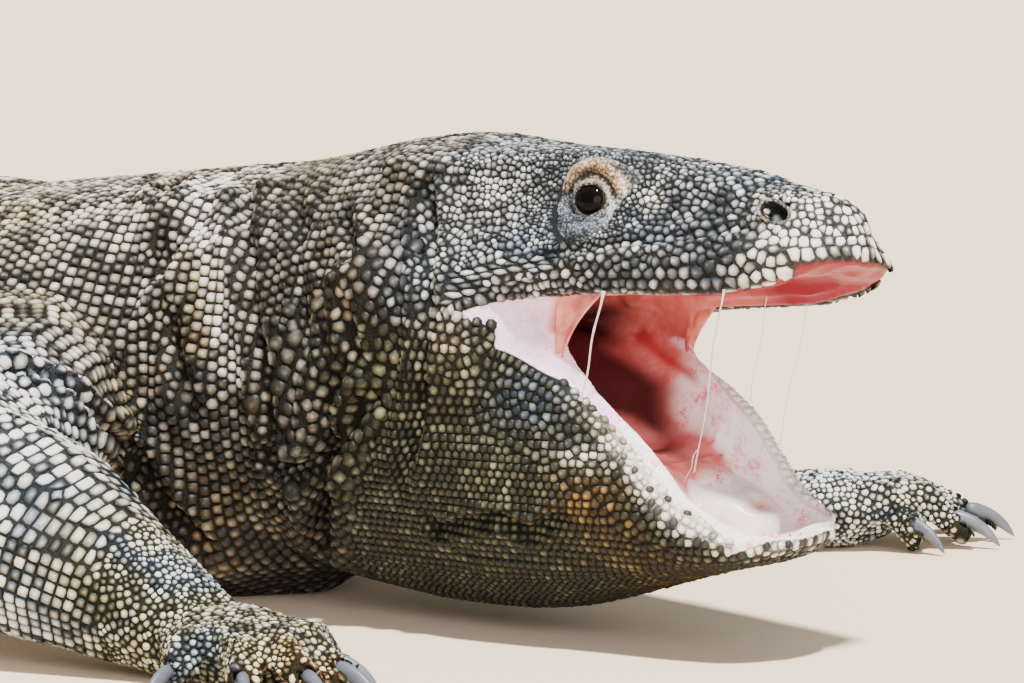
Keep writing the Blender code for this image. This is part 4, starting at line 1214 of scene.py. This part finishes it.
def markings_group():
    """A node group that turns a tone, with painted shade in crevices and a painted highlight on tops,
    into the animal's colour.
    """
    group = bpy.data.node_groups.new("markings", "ShaderNodeTree")
    group.interface.new_socket("Tone", in_out="INPUT", socket_type="NodeSocketFloat")
    group.interface.new_socket("Colour", in_out="OUTPUT", socket_type="NodeSocketColor")
    nodes = Nodes(group)
    tone = group.nodes.new("NodeGroupInput").outputs["Tone"]
    terms = []
    for scale, detail, factor in ((16.0, 3.0, 0.50), (75.0, 4.0, 0.60), (420.0, 2.0, 0.30)):
        terms.append((nodes.math("SUBTRACT", nodes.noise(scale, detail), 0.5), factor))
    # Lifts of the tone: top, the sunlight mask and under are painted light and shade, and the limbs' lift
    # is partly their own paler colour and partly painted sunlight.
    for name, factor in (("top", 0.12), ("limb", 0.34), ("under", -0.30), ("jaw", -0.08), ("painted_sunlight", 0.20),
                         ("pale", 0.34)):
        terms.append((nodes.mask(name), factor))
    lift = nodes.summed(*terms)
    tone = nodes.math("ADD", tone, nodes.math("MULTIPLY", lift, nodes.grey(tone, 0.0, 0.35)))

    def coloured(name):
        return nodes.ramp(tone, list(zip(TONES, RAMPS[name])))

    colour = coloured("body")
    earth = nodes.grey(nodes.noise(22.0, 4.0), 0.46, 0.66)
    colour = nodes.mix(nodes.math("MULTIPLY", earth, 0.55), colour, coloured("chin"))
    for name in ("limb", "jaw", "chin", "head"):
        colour = nodes.mix(nodes.mask(name), colour, coloured(name))
    olive = nodes.grey(nodes.noise(60.0, 3.0), 0.52, 0.66)
    colour = nodes.mix(nodes.math("MULTIPLY", olive, 0.30), colour, coloured("jaw"))
    blot = nodes.grey(nodes.noise(34.0, 3.0), 0.50, 0.64)
    cold = nodes.summed((nodes.mask("head"), 0.35), (nodes.mask("limb"), 0.55))
    cold = nodes.math("MULTIPLY", blot, cold)
    speckle = nodes.grey(nodes.noise(210.0, 2.0), 0.36, 0.56)
    colour = nodes.mix(cold, colour, coloured("blue"))
    for name in ("blue", "ochre", "pale"):
        spread = nodes.math("MULTIPLY", nodes.mask(name), nodes.summed((speckle, 0.5), (0.5, 1.0)))
        colour = nodes.mix(spread, colour, coloured(name))
    nodes.link(colour, group.nodes.new("NodeGroupOutput").inputs["Colour"])
    return group


def new_material(name):
    made = bpy.data.materials.new(name)
    made.use_nodes = True
    return made, Nodes(made.node_tree), made.node_tree.nodes["Principled BSDF"]


def marked(nodes, group, tone):
    node = nodes.add("Group")
    node.node_tree = group
    nodes.link(tone, node.inputs["Tone"])
    return node.outputs["Colour"]


def bumped(nodes, shader, height, distance, strength):
    bump = nodes.fed(nodes.add("Bump"), Height=height, Distance=distance, Strength=strength)
    nodes.link(bump.outputs["Normal"], shader.inputs["Normal"])


def scale_material(group):
    made, nodes, shader = new_material("scales")
    rise, tint = nodes.mask("rise"), nodes.mask("tint")
    swing = nodes.math("MULTIPLY", nodes.math("SUBTRACT", tint, 0.5), nodes.grey(rise, 0.0, 0.6))
    # The tone is painted shade at each scale's root and a painted highlight on its top, from the mask
    # rise, with a random swing by tint and a pale gumline.
    tone = nodes.summed((nodes.math("POWER", rise, 1.9), 0.66), (swing, 0.60), (0.004, 1.0),
                        (nodes.mask("gumline"), 0.55))
    black = nodes.math("MULTIPLY", nodes.grey(tint, 0.34, 0.26), nodes.mask("edge"))
    tone = nodes.math("MULTIPLY", tone, nodes.math("MULTIPLY_ADD", black, -0.85, 1.0))
    rough = nodes.summed((nodes.noise(120.0), 0.25), (tint, 0.12), (0.30, 1.0))
    nodes.fed(shader, Base_Color=marked(nodes, group, tone), Roughness=rough, Specular_IOR_Level=0.26)
    bumped(nodes, shader, nodes.noise(1500.0, 2.0), 0.00025, 0.6)
    return made


def skin_material(group):
    made, nodes, shader = new_material("skin")
    grains = nodes.texture("TexVoronoi", Scale=900.0).outputs["Distance"]
    # The skin between the scales keeps a tone near 0: painted shade in the crevices, a little lighter
    # where its grain stands higher, and pale along the gumline.
    outside = marked(nodes, group, nodes.summed((grains, 0.07), (nodes.mask("gumline"), 0.80)))
    mouth = nodes.grey(nodes.mask("mouth"), -0.15, 0.35)
    coarse, fine = nodes.noise(30.0, 4.0), nodes.noise(620.0, 3.0)
    middle = nodes.noise(130.0, 5.0, 0.62)
    red = nodes.ramp(nodes.summed((coarse, 0.55), (middle, 0.45)), [
        (0.30, (0.52, 0.095, 0.100)), (0.50, (0.72, 0.190, 0.185)), (0.66, (0.84, 0.35, 0.33)),
    ])
    gum = nodes.ramp(nodes.summed((middle, 0.62), (fine, 0.38)), [
        (0.36, (0.88, 0.20, 0.28)), (0.44, (0.97, 0.66, 0.72)), (0.51, (1.0, 0.96, 0.95)),
    ])
    web = nodes.ramp(nodes.summed((middle, 0.6), (fine, 0.4)), [
        (0.36, (0.85, 0.50, 0.76)), (0.50, (0.93, 0.66, 0.91)), (0.64, (0.97, 0.80, 0.99)),
    ])
    specks = nodes.math("MULTIPLY", nodes.grey(nodes.noise(1100.0, 1.0), 0.70, 0.76), nodes.mask("web"))
    web = nodes.mix(specks, web, (0.20, 0.07, 0.05))
    lining = red
    # deep is a painted shadow in the throat; front is partly the lining's own dusky colour and partly
    # painted shade under the upper lip.
    for name, colour in (("front", (0.28, 0.030, 0.046)), ("deep", (0.055, 0.012, 0.015)), ("gum", gum),
                         ("web", web), ("line", (0.48, 0.035, 0.040))):
        lining = nodes.mix(nodes.mask(name), lining, colour)
    edge = nodes.math("MULTIPLY", nodes.grey(nodes.mask("mouth"), 2.8, 0.9), nodes.mask("dark_edge"))
    lining = nodes.mix(edge, lining, (0.075, 0.040, 0.032))
    nodes.fed(
        shader, Base_Color=nodes.mix(mouth, outside, lining), Specular_IOR_Level=0.16,
        Roughness=nodes.math("MULTIPLY_ADD", mouth, -0.45, 0.75),
        Subsurface_Weight=nodes.math("MULTIPLY", mouth, 0.10), Subsurface_Radius=(0.004, 0.0015, 0.001),
    )
    height = nodes.mix(mouth, grains, nodes.math("MULTIPLY", middle, 0.9))
    bumped(nodes, shader, height, 0.0007, 0.6)
    return made


def mouth_masks(points):
    """Where each colour of the mouth's lining and the painted shadow in its throat lie, from 0 to 1."""
    x, _, z, side, lip, rim = in_jaws(points)
    mouth = in_mouth(points)
    below = eased(0.004, -0.004, z - (lip + rim) / 2)
    half = np.where(z > (lip + rim) / 2, upper_half(x), lower_half(np.minimum(x, JAW_TIP)))
    inward = half - side
    # deep: a painted shadow over the rear of the mouth and the throat, which also keeps the gum colour
    # out of it.
    throat = 0.050 + 0.030 * eased(-0.022, -0.042, z)
    deep = eased(0.022, -0.012, x + side - throat) * eased(0.002, 0.008, mouth) * eased(0.098, 0.082, x)
    wide = 0.011 + 0.016 * eased(-0.015, -0.055, z)
    band = eased(0.003, -0.003, inward - wide) * eased(0.046, 0.060, x)
    gum = below * np.maximum(band, eased(0.102, 0.114, x)) * (1 - deep)
    web = eased(0.0135, 0.0115, inward) * eased(0.080, 0.060, x) * eased(0.062, 0.052, x)
    web = np.maximum(web, eased(0.0135, 0.0115, inward) * below * eased(0.105, 0.085, x))
    line = hump(inward, 0.0155, 0.0012) * eased(0.072, 0.060, x) * eased(0.001, 0.004, mouth)
    return {
        "mouth": mouth * 1000, "deep": deep, "gum": gum, "web": web, "line": 0.8 * line,
        # front: the roof's front under the upper lip, partly its own dusky colour and partly painted
        # shade.
        "front": eased(0.090, 0.130, x) * (1 - below),
        "dark_edge": eased(0.100, 0.120, x) * (1 - below),
    }


def lid_material(group):
    made, nodes, shader = new_material("lids")
    grain = nodes.math("SUBTRACT", nodes.noise(900.0, 3.0), 0.5)
    height = nodes.math("SUBTRACT", 0.55, nodes.texture("TexVoronoi", Scale=780.0).outputs["Distance"])
    # The lids' tone follows their grain's bump: painted shade between the granules and a painted
    # highlight on them.
    tone = nodes.summed((grain, 0.40), (nodes.mask("tone"), 1.0),
                        (nodes.math("SUBTRACT", height, 0.15), 0.75))
    nodes.fed(shader, Base_Color=marked(nodes, group, tone), Roughness=0.50, Specular_IOR_Level=0.25)
    bumped(nodes, shader, height, 0.0007, 0.8)
    return made


FLESH = [(0.35, (0.66, 0.15, 0.13)), (0.62, (0.88, 0.38, 0.32))]
HORN = [(0.35, tuple(0.6 * c for c in (0.14, 0.16, 0.20))), (0.65, (0.14, 0.16, 0.20))]
SALIVA = [(0.3, (0.86, 0.74, 0.72)), (0.7, (0.96, 0.94, 0.92))]
PALE_FLOOR = [(0.3, (0.94, 0.75, 0.54)), (0.7, (0.97, 0.79, 0.58))]


def plain_material(name, scale, detail, stops, bumpy=False, **inputs):
    """A material whose colour follows one noise through a ramp."""
    made, nodes, shader = new_material(name)
    nodes.fed(shader, Base_Color=nodes.ramp(nodes.noise(scale, detail), stops), **inputs)
    if bumpy:
        bumped(nodes, shader, nodes.noise(500.0, 4.0), 0.0005, 0.5)
    return made


# --- eyes, claws, tongue, saliva ---
EYE_AHEAD, EYE_UP = 0.38, 0.10  # how far the eyes look ahead and up for 1 to the side


def eyeball(name, node, side):
    bm = bmesh.new()
    bmesh.ops.create_uvsphere(bm, u_segments=40, v_segments=28, radius=EYE_RADIUS)
    outward = HEAD_TURN @ Vector((EYE_AHEAD, side, EYE_UP))
    bmesh.ops.transform(bm, matrix=outward.to_track_quat("Z", "Y").to_matrix().to_4x4(), verts=bm.verts)
    bmesh.ops.translate(bm, vec=middle_of(node), verts=bm.verts)
    mesh = mesh_from(bm, name)
    places = vectors_of(mesh.vertices, "co") - np.array(middle_of(node))
    away = np.degrees(np.arccos(np.clip(unit(places) @ np.array(outward.normalized()), -1, 1)))
    write_attribute(mesh, "away", away / 90)
    mesh.shade_smooth()
    piece = linked(name, mesh)
    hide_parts(node)
    return piece


def eye_material():
    made, nodes, shader = new_material("eye")
    stops = [(0.35, (0.003, 0.002, 0.002)), (0.65, (0.007, 0.005, 0.003))]
    iris = nodes.ramp(nodes.noise(700.0), stops)
    pupil = nodes.grey(nodes.mask("away"), 0.20, 0.26)
    colour = nodes.mix(pupil, (0.002, 0.002, 0.002), iris)
    rim = nodes.grey(nodes.mask("away"), 0.44, 0.47)
    colour = nodes.mix(rim, colour, (0.035, 0.026, 0.016))
    nodes.fed(shader, Base_Color=colour, Roughness=0.07, Specular_IOR_Level=0.07)
    return made


def sheet(name, points, ring):
    """A mesh of quads over rows of points, closed round where ring is set."""
    count, wide = len(points), len(points[0])
    mesh = bpy.data.meshes.new(name)
    ends = wide if ring else wide - 1
    faces = [
        (i * wide + j, i * wide + (j + 1) % wide, (i + 1) * wide + (j + 1) % wide, (i + 1) * wide + j)
        for i in range(count - 1) for j in range(ends)
    ]
    mesh.from_pydata([tuple(p) for row in points for p in row], [], faces)
    mesh.update()
    mesh.shade_smooth()
    return linked(name, mesh)


def draped(name, tree, middle, outward, inner, outer, lift, marks, count=120, rings=34):
    """A fine sheet round an opening: it starts on the lining and ends just under the skin.

    inner and outer give its radii by angle, lift its height over middle and the skin there."""
    ahead = HEAD_TURN @ Vector((1, 0, 0))
    ahead = (ahead - outward * ahead.dot(outward)).normalized()
    up = ahead.cross(outward) if ahead.cross(outward).z > 0 else outward.cross(ahead)
    points, painted = [], []
    for i in range(rings):
        t = i / (rings - 1)
        row = []
        for j in range(count):
            angle = 2 * math.pi * j / count - math.pi
            near, far = inner(angle), outer(angle)
            radius = near + (far - near) * t**0.85
            aside = ahead * math.cos(angle) + up * math.sin(angle)

            def skin_height(at):
                hit = tree.ray_cast(middle + aside * at + outward * 0.035, -outward, 0.06)[0]
                return 0.0 if hit is None else (hit - middle).dot(outward)

            height = lift(radius, t, angle, skin_height)
            row.append(middle + aside * radius + outward * height)
            painted.append(marks(radius, angle))
        points.append(row)
    piece = sheet(name, points, True)
    for index, mask in enumerate(("tone", "head", "blue", "pale", "ochre")):
        write_attribute(piece.data, mask, [paint[index] for paint in painted])
    return piece


def bell(x, middle, width):
    """As hump, for one number."""
    return math.exp(-(((x - middle) / width) ** 2))


def soft(low, high, x):
    """As eased, for one number."""
    return float(eased(low, high, x))


def rounded(piece, levels):
    piece.modifiers.new("round", "SUBSURF").levels = levels
    applied(piece)
    piece.data.shade_smooth()
    return piece


LID_OPENING = 0.0063


def lids(name, node, side, tree):
    """Upper and lower lid of one eye and the bare brow round them, as one sheet."""
    middle = middle_of(node)
    outward = (HEAD_TURN @ Vector((EYE_AHEAD, side, EYE_UP))).normalized()
    shell = EYE_RADIUS + 0.0009

    def inner(angle):
        narrow = 0.09 * max(0.0, math.sin(angle)) ** 2
        return LID_OPENING * (1.05 - narrow + 0.06 * abs(math.cos(angle)) ** 3)

    def outer(angle):
        return float(lid_reach(angle)) * 1.10

    def lift(radius, t, angle, skin_height):
        above, below = max(0.0, math.sin(angle)) ** 0.7, max(0.0, -math.sin(angle)) ** 0.7
        ball = math.sqrt(max(shell**2 - radius**2, 0.0))
        share = soft(0.0074, 0.0125, radius)
        base = ball * (1 - share) + (skin_height(max(radius, 0.0125)) + 0.0006) * share
        if radius > 0.0072:
            base = max(base, skin_height(radius) + 0.0006)
        if t == 0:
            return math.sqrt(EYE_RADIUS**2 - radius**2) - 0.0006
        fold = 0.0007 * bell(radius, 0.0072, 0.0008)
        fold += above * 0.0009 * bell(radius, 0.0088, 0.0011)
        fold += above * 0.0020 * bell(radius, 0.0143, 0.0023)
        fold += below * (0.0018 * bell(radius, 0.0128, 0.0026) + 0.0005 * bell(radius, 0.0182, 0.0008))
        fold += 0.00018 * math.sin(radius / 0.00026) * abs(math.cos(angle)) * soft(0.007, 0.009, radius)
        fold += 0.00012 * math.sin(9 * angle + 900 * radius) * soft(0.007, 0.010, radius)
        return base + fold - 0.0022 * soft(0.86, 1.0, t)

    def marks(radius, angle):
        above = soft(0.05, 0.45, math.sin(angle))
        below = soft(-0.15, -0.55, math.sin(angle))
        tone = 0.46 + 0.08 * math.sin(5 * angle + 700 * radius)
        tone -= 0.10 * bell(radius, 0.0074, 0.0012) * (1 - above)
        # Painted shade in the groove over the upper lid.
        tone -= 0.40 * bell(radius, 0.0113, 0.0007) * above
        # Painted shade in the creases under the lower lid.
        creases = 0.5 * bell(radius, 0.0096, 0.0008) + bell(radius, 0.0169, 0.0012)
        tone -= 0.24 * below * (creases + bell(radius, 0.0196, 0.0008))
        rolls = 0.16 * above * bell(radius, 0.0085, 0.0016)
        tone += rolls + 0.20 * above * bell(radius, 0.0150, 0.0030)
        tone += 0.06 * below * bell(radius, 0.0128, 0.0020)
        tone -= 0.16 * soft(0.0062, 0.0058, radius)
        side_dark = (1 - above) * (1 - below) * soft(0.0080, 0.0100, radius)
        warm = above * max(0.9 * bell(radius, 0.0148, 0.0034), 0.45 * bell(radius, 0.0090, 0.0018))
        warm += 0.10 * (1 - below) * bell(radius, 0.0078, 0.0014)
        blue = below * 0.55 * bell(radius, 0.0130, 0.0032)
        pale = above * (0.35 * bell(radius, 0.0172, 0.0020) + 0.25 * bell(radius, 0.0088, 0.0014))
        pale += 0.45 * max(0.0, math.cos(angle)) ** 2 * soft(0.0075, 0.0100, radius) * (1 - above)
        return tone - 0.03 * side_dark, 1.0, blue, min(1.0, pale), min(1.0, warm)

    return draped(name, tree, middle, outward, inner, outer, lift, marks)


def nostril_rim(name, side, tree):
    """The rim of a nostril, which turns in over the hole in the skin."""
    x, across, z = NOSTRIL
    guess = from_head(x, side * across, z)
    outward = (HEAD_TURN @ Vector((0.12, side, 0.42))).normalized()
    wide, tall = NOSTRIL_HALF

    def oval(scale):
        def radius(angle):
            tilted = angle - NOSTRIL_SLOPE
            return scale * wide * tall / math.hypot(tall * math.cos(tilted), wide * math.sin(tilted))
        return radius

    around = []
    ahead = (HEAD_TURN @ Vector((1, 0, 0))).normalized()
    for step in range(12):
        spin = Matrix.Rotation(step * math.pi / 6, 3, outward)
        start = guess + outward * 0.03 + spin @ ahead * 0.0095
        hit = tree.ray_cast(start, -outward, 0.08)[0]
        if hit is not None:
            around.append((hit - guess).dot(outward))
    middle = guess + outward * (sum(around) / len(around))

    def lift(radius, t, angle, skin_height):
        edge = oval(1.0)(angle)
        level = skin_height(max(radius, 1.55 * edge))
        share = radius / edge
        wall = -0.0060 * soft(1.0, 0.72, share)
        rim = 0.0009 * bell(share, 1.22, 0.20)
        return level + 0.0002 + wall + rim - 0.0016 * soft(0.80, 1.0, t)

    def marks(radius, angle):
        share = radius / oval(1.0)(angle)
        # Painted shade: the wall inside the nostril's hole darkens to black.
        inside = soft(1.08, 0.90, share)
        rear = soft(0.2, 0.9, -math.cos(angle - 0.9))
        tone = 0.46 - 0.46 * inside + 0.06 * math.sin(6 * angle)
        return tone, 1.0, 0.0, 0.25 * (1 - inside), 0.75 * rear * (1 - inside) * soft(1.6, 1.1, share)

    return draped(name, tree, middle, outward, oval(0.70), oval(1.42), lift, marks, 72, 20)


def tube(name, path, radii, sides=8):
    """A thin round thread through points of a path."""
    points, normal = [], Vector((1, 0.3, 0)).normalized()
    for i, (place, radius) in enumerate(zip(path, radii)):
        way = (path[min(i + 1, len(path) - 1)] - path[max(i - 1, 0)]).normalized()
        first = (normal - way * normal.dot(way)).normalized()
        second = way.cross(first)
        points.append([
            place + (first * math.cos(a) + second * math.sin(a)) * float(radius)
            for a in np.linspace(0, 2 * math.pi, sides, endpoint=False)
        ])
    return sheet(name, points, True)


# Threads of saliva: both ends in the head's frame, radius at the ends and in the middle.
THREADS = [
    ((0.0895, -0.0500, 0.0035), (0.0745, -0.0455, -0.0375), 0.00110, 0.00042),
    ((0.1480, -0.0385, 0.0100), (0.1020, -0.0080, -0.0690), 0.00075, 0.00030),
    ((0.1060, -0.0107, -0.0580), (0.1005, -0.0129, -0.0725), 0.00035, 0.00022),
    ((0.1160, 0.0230, 0.0085), (0.0865, 0.0440, -0.0440), 0.00030, 0.00012),
    ((0.1370, 0.0260, 0.0105), (0.1040, 0.0415, -0.0625), 0.00030, 0.00012),
]


def saliva(index, ends):
    start, end, thick, thin = ends
    start, end = from_head(*start), from_head(*end)
    shares = np.linspace(0, 1, 40)
    wobble = 0.00035 * np.sin(shares * 9.0 + index)
    path = [start.lerp(end, float(t)) + Vector((float(w), float(w), 0)) for t, w in zip(shares, wobble)]
    radii = thin + (thick - thin) * (np.exp(-shares / 0.045) + np.exp(-(1 - shares) / 0.045))
    radii = radii * (1 + 0.35 * np.exp(-(((shares - 0.35) / 0.03) ** 2)))
    return tube(f"saliva_{index}", path, radii)


# Corners of the folds in the mouth's corners, in the head's frame: behind, in front and below.
MOUTH_FOLDS = {
    -1: ((0.0560, 0.0430, 0.0040), (0.0835, 0.0430, 0.0045), (0.0575, 0.0425, -0.0280)),
    1: ((0.0470, 0.0430, 0.0040), (0.0715, 0.0430, 0.0045), (0.0560, 0.0425, -0.0310)),
}


def mouth_fold(name, side):
    """The fold of skin that hangs inside the mouth's corner."""
    top_rear, top_front, foot = MOUTH_FOLDS[side]
    points = []
    for t in np.linspace(0, 1, 16):
        rear = [a + (b - a) * t for a, b in zip(top_rear, foot)]
        front = [a + (b - a) * t for a, b in zip(top_front, foot)]
        front[0] -= 0.0035 * math.sin(math.pi * t)
        row = []
        for u in np.linspace(0, 1, 16):
            spot = [a + (b - a) * u for a, b in zip(rear, front)]
            spot[1] -= 0.0022 * math.sin(math.pi * u) + 0.0015 * u
            row.append(from_head(spot[0], side * spot[1], spot[2]))
        points.append(row)
    piece = sheet(name, points, False)
    thick = piece.modifiers.new("thick", "SOLIDIFY")
    thick.thickness = 0.0012
    thick.offset = 0.0
    return rounded(piece, 1)


def tongue_sheath():
    """The low mound that the tongue slides out of, with its opening in front."""
    points = []
    mound = [(0.0285, -0.0120), (0.0280, -0.0040), (0.0268, 0.0010), (0.0240, 0.0034), (0.0200, 0.0048),
             (0.0150, 0.0058), (0.0090, 0.0065), (0.0040, 0.0068), (0.0006, 0.0069)]
    middle_x, middle_z = 0.1150, -0.0785
    tilt = math.radians(19)
    for reach, rise in mound:
        row = []
        for angle in np.linspace(0, 2 * math.pi, 56, endpoint=False):
            u, v = reach * math.cos(angle), 0.60 * reach * math.sin(angle)
            mouth = math.exp(-(((u - 0.0175) / 0.0030) ** 2) - (v / 0.0065) ** 2)
            brow = math.exp(-(((u - 0.0130) / 0.0020) ** 2) - (v / 0.0075) ** 2)
            height = rise - 0.0040 * mouth + 0.0012 * brow
            x = middle_x + u * math.cos(tilt) + height * math.sin(tilt)
            z = middle_z - u * math.sin(tilt) + height * math.cos(tilt)
            row.append(from_head(x, v, z))
        points.append(row)
    piece = sheet("tongue_sheath", points, True)
    bm = bmesh.new()
    bm.from_mesh(piece.data)
    bmesh.ops.holes_fill(bm, edges=[e for e in bm.edges if e.is_boundary], sides=0)
    bmesh.ops.recalc_face_normals(bm, faces=bm.faces)
    bm.to_mesh(piece.data)
    bm.free()
    rounded(piece, 2)
    x, y, _ = to_head(vectors_of(piece.data.vertices, "co").astype(float))
    write_attribute(piece.data, "opening", np.exp(-(((x - 0.1330) / 0.0036) ** 2) - (y / 0.0068) ** 2))
    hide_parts("tongue")
    return piece


def sheath_material():
    made, nodes, shader = new_material("sheath")
    body = nodes.ramp(nodes.noise(160.0, 4.0), [(0.35, (0.86, 0.66, 0.72)), (0.6, (0.95, 0.88, 0.91))])
    opening = nodes.ramp(nodes.noise(300.0), [(0.4, (0.45, 0.22, 0.30)), (0.6, (0.85, 0.42, 0.26))])
    nodes.fed(shader, Base_Color=nodes.mix(nodes.mask("opening"), body, opening), Roughness=0.25)
    bumped(nodes, shader, nodes.noise(500.0, 4.0), 0.0005, 0.5)
    return made


def claw_piece(node):
    bm = bmesh.new()
    bm.from_mesh(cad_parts[node].data)
    bmesh.ops.remove_doubles(bm, verts=bm.verts, dist=1e-6)
    flat, square = math.radians(40), math.radians(60)
    bmesh.ops.join_triangles(
        bm, faces=bm.faces, angle_face_threshold=flat, angle_shape_threshold=square
    )
    piece = rounded(linked("horn_" + node, mesh_from(bm, node)), 2)
    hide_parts(node)
    return piece


# --- stage ---
def stage():
    """A plain pale floor, a pale world, a key from above and a fill from the camera's side."""
    bm = bmesh.new()
    bmesh.ops.create_grid(bm, x_segments=1, y_segments=1, size=90.0)
    floor = linked("floor", mesh_from(bm, "floor"))
    floor.location.z = -0.0002
    floor.data.materials.append(plain_material("floor", 1.5, 3.0, PALE_FLOOR, Roughness=0.9))
    world = bpy.data.worlds.new("studio")
    bpy.context.scene.world = world
    world.use_nodes = True
    background = world.node_tree.nodes["Background"]
    background.inputs["Color"].default_value = (0.98, 0.975, 0.97, 1)
    background.inputs["Strength"].default_value = 0.48
    for name, toward, energy, spread, colour in (
        ("key", (0.28, -0.30, 1.0), 8.4, 4, (1.0, 0.96, 0.90)),
        ("fill", (0.62, -0.78, 0.30), 2.3, 40, (1.0, 0.96, 0.94)),
    ):
        lamp = bpy.data.lights.new(name, "SUN")
        lamp.energy = energy
        lamp.angle = math.radians(spread)
        lamp.color = colour
        linked(name, lamp).rotation_euler = Vector(toward).to_track_quat("Z", "Y").to_euler()


AZIMUTH, ELEVATION = math.radians(33), math.radians(7)
CAMERA_DISTANCE = 4.5
VIEW_WIDTH = 0.4403  # what the view spans at the ears' distance
VIEW_SHIFT = (-0.0215, -0.0503)


def camera():
    """The photo's view: from ahead of the animal and to its right, a little above it."""
    level = math.cos(ELEVATION)
    back = Vector((math.sin(AZIMUTH) * level, -math.cos(AZIMUTH) * level, math.sin(ELEVATION)))
    right = Vector((0, 0, 1)).cross(back).normalized()
    turn = Matrix((right, back.cross(right), back)).transposed()
    data = bpy.data.cameras.new("camera")
    data.sensor_width = 36.0
    data.lens = data.sensor_width * CAMERA_DISTANCE / VIEW_WIDTH
    data.shift_x, data.shift_y = VIEW_SHIFT
    data.clip_end = 300.0
    made = linked("camera", data)
    made.matrix_world = Matrix.Translation(HEAD_PLACE + back * CAMERA_DISTANCE) @ turn.to_4x4()
    bpy.context.scene.camera = made


def main():
    group = markings_group()
    skin = grown_skin()
    surface = sculpt(skin)
    scale_pieces(surface, scale_material(group))
    lightened(skin)
    places = vectors_of(skin.data.vertices, "co").astype(float)
    normals = vectors_of(skin.data.vertices, "normal").astype(float)
    for mask, values in {**markings(places, normals), **mouth_masks(places)}.items():
        write_attribute(skin.data, mask, values)
    skin.data.shade_smooth()
    finish_piece(skin, skin_material(group))
    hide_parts(*flesh_nodes())

    tree = surface_tree(places, skin.data)
    wet, lid = eye_material(), lid_material(group)
    flesh = plain_material("mouth_flesh", 120.0, 4.0, FLESH, bumpy=True, Roughness=0.34,
                           Specular_IOR_Level=0.22)
    for word, side in (("right", -1), ("left", 1)):
        finish_piece(eyeball("eyeball_" + word, word + "_eye", side), wet)
        finish_piece(lids("lids_" + word, word + "_eye", side, tree), lid)
        finish_piece(nostril_rim("nostril_" + word, side, tree), lid)
        finish_piece(mouth_fold("mouth_fold_" + word, side), flesh)
    horn = plain_material("horn", 90.0, 4.0, HORN, Roughness=0.40)
    for node in sorted(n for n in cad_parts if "claw" in n):
        finish_piece(claw_piece(node), horn)
    finish_piece(tongue_sheath(), sheath_material())
    drool = plain_material("saliva", 400.0, 3.0, SALIVA, Roughness=0.12, Coat_Weight=0.6,
                           Transmission_Weight=0.25)
    for index, ends in enumerate(THREADS, 1):
        finish_piece(saliva(index, ends), drool)
    stage()
    camera()


main()
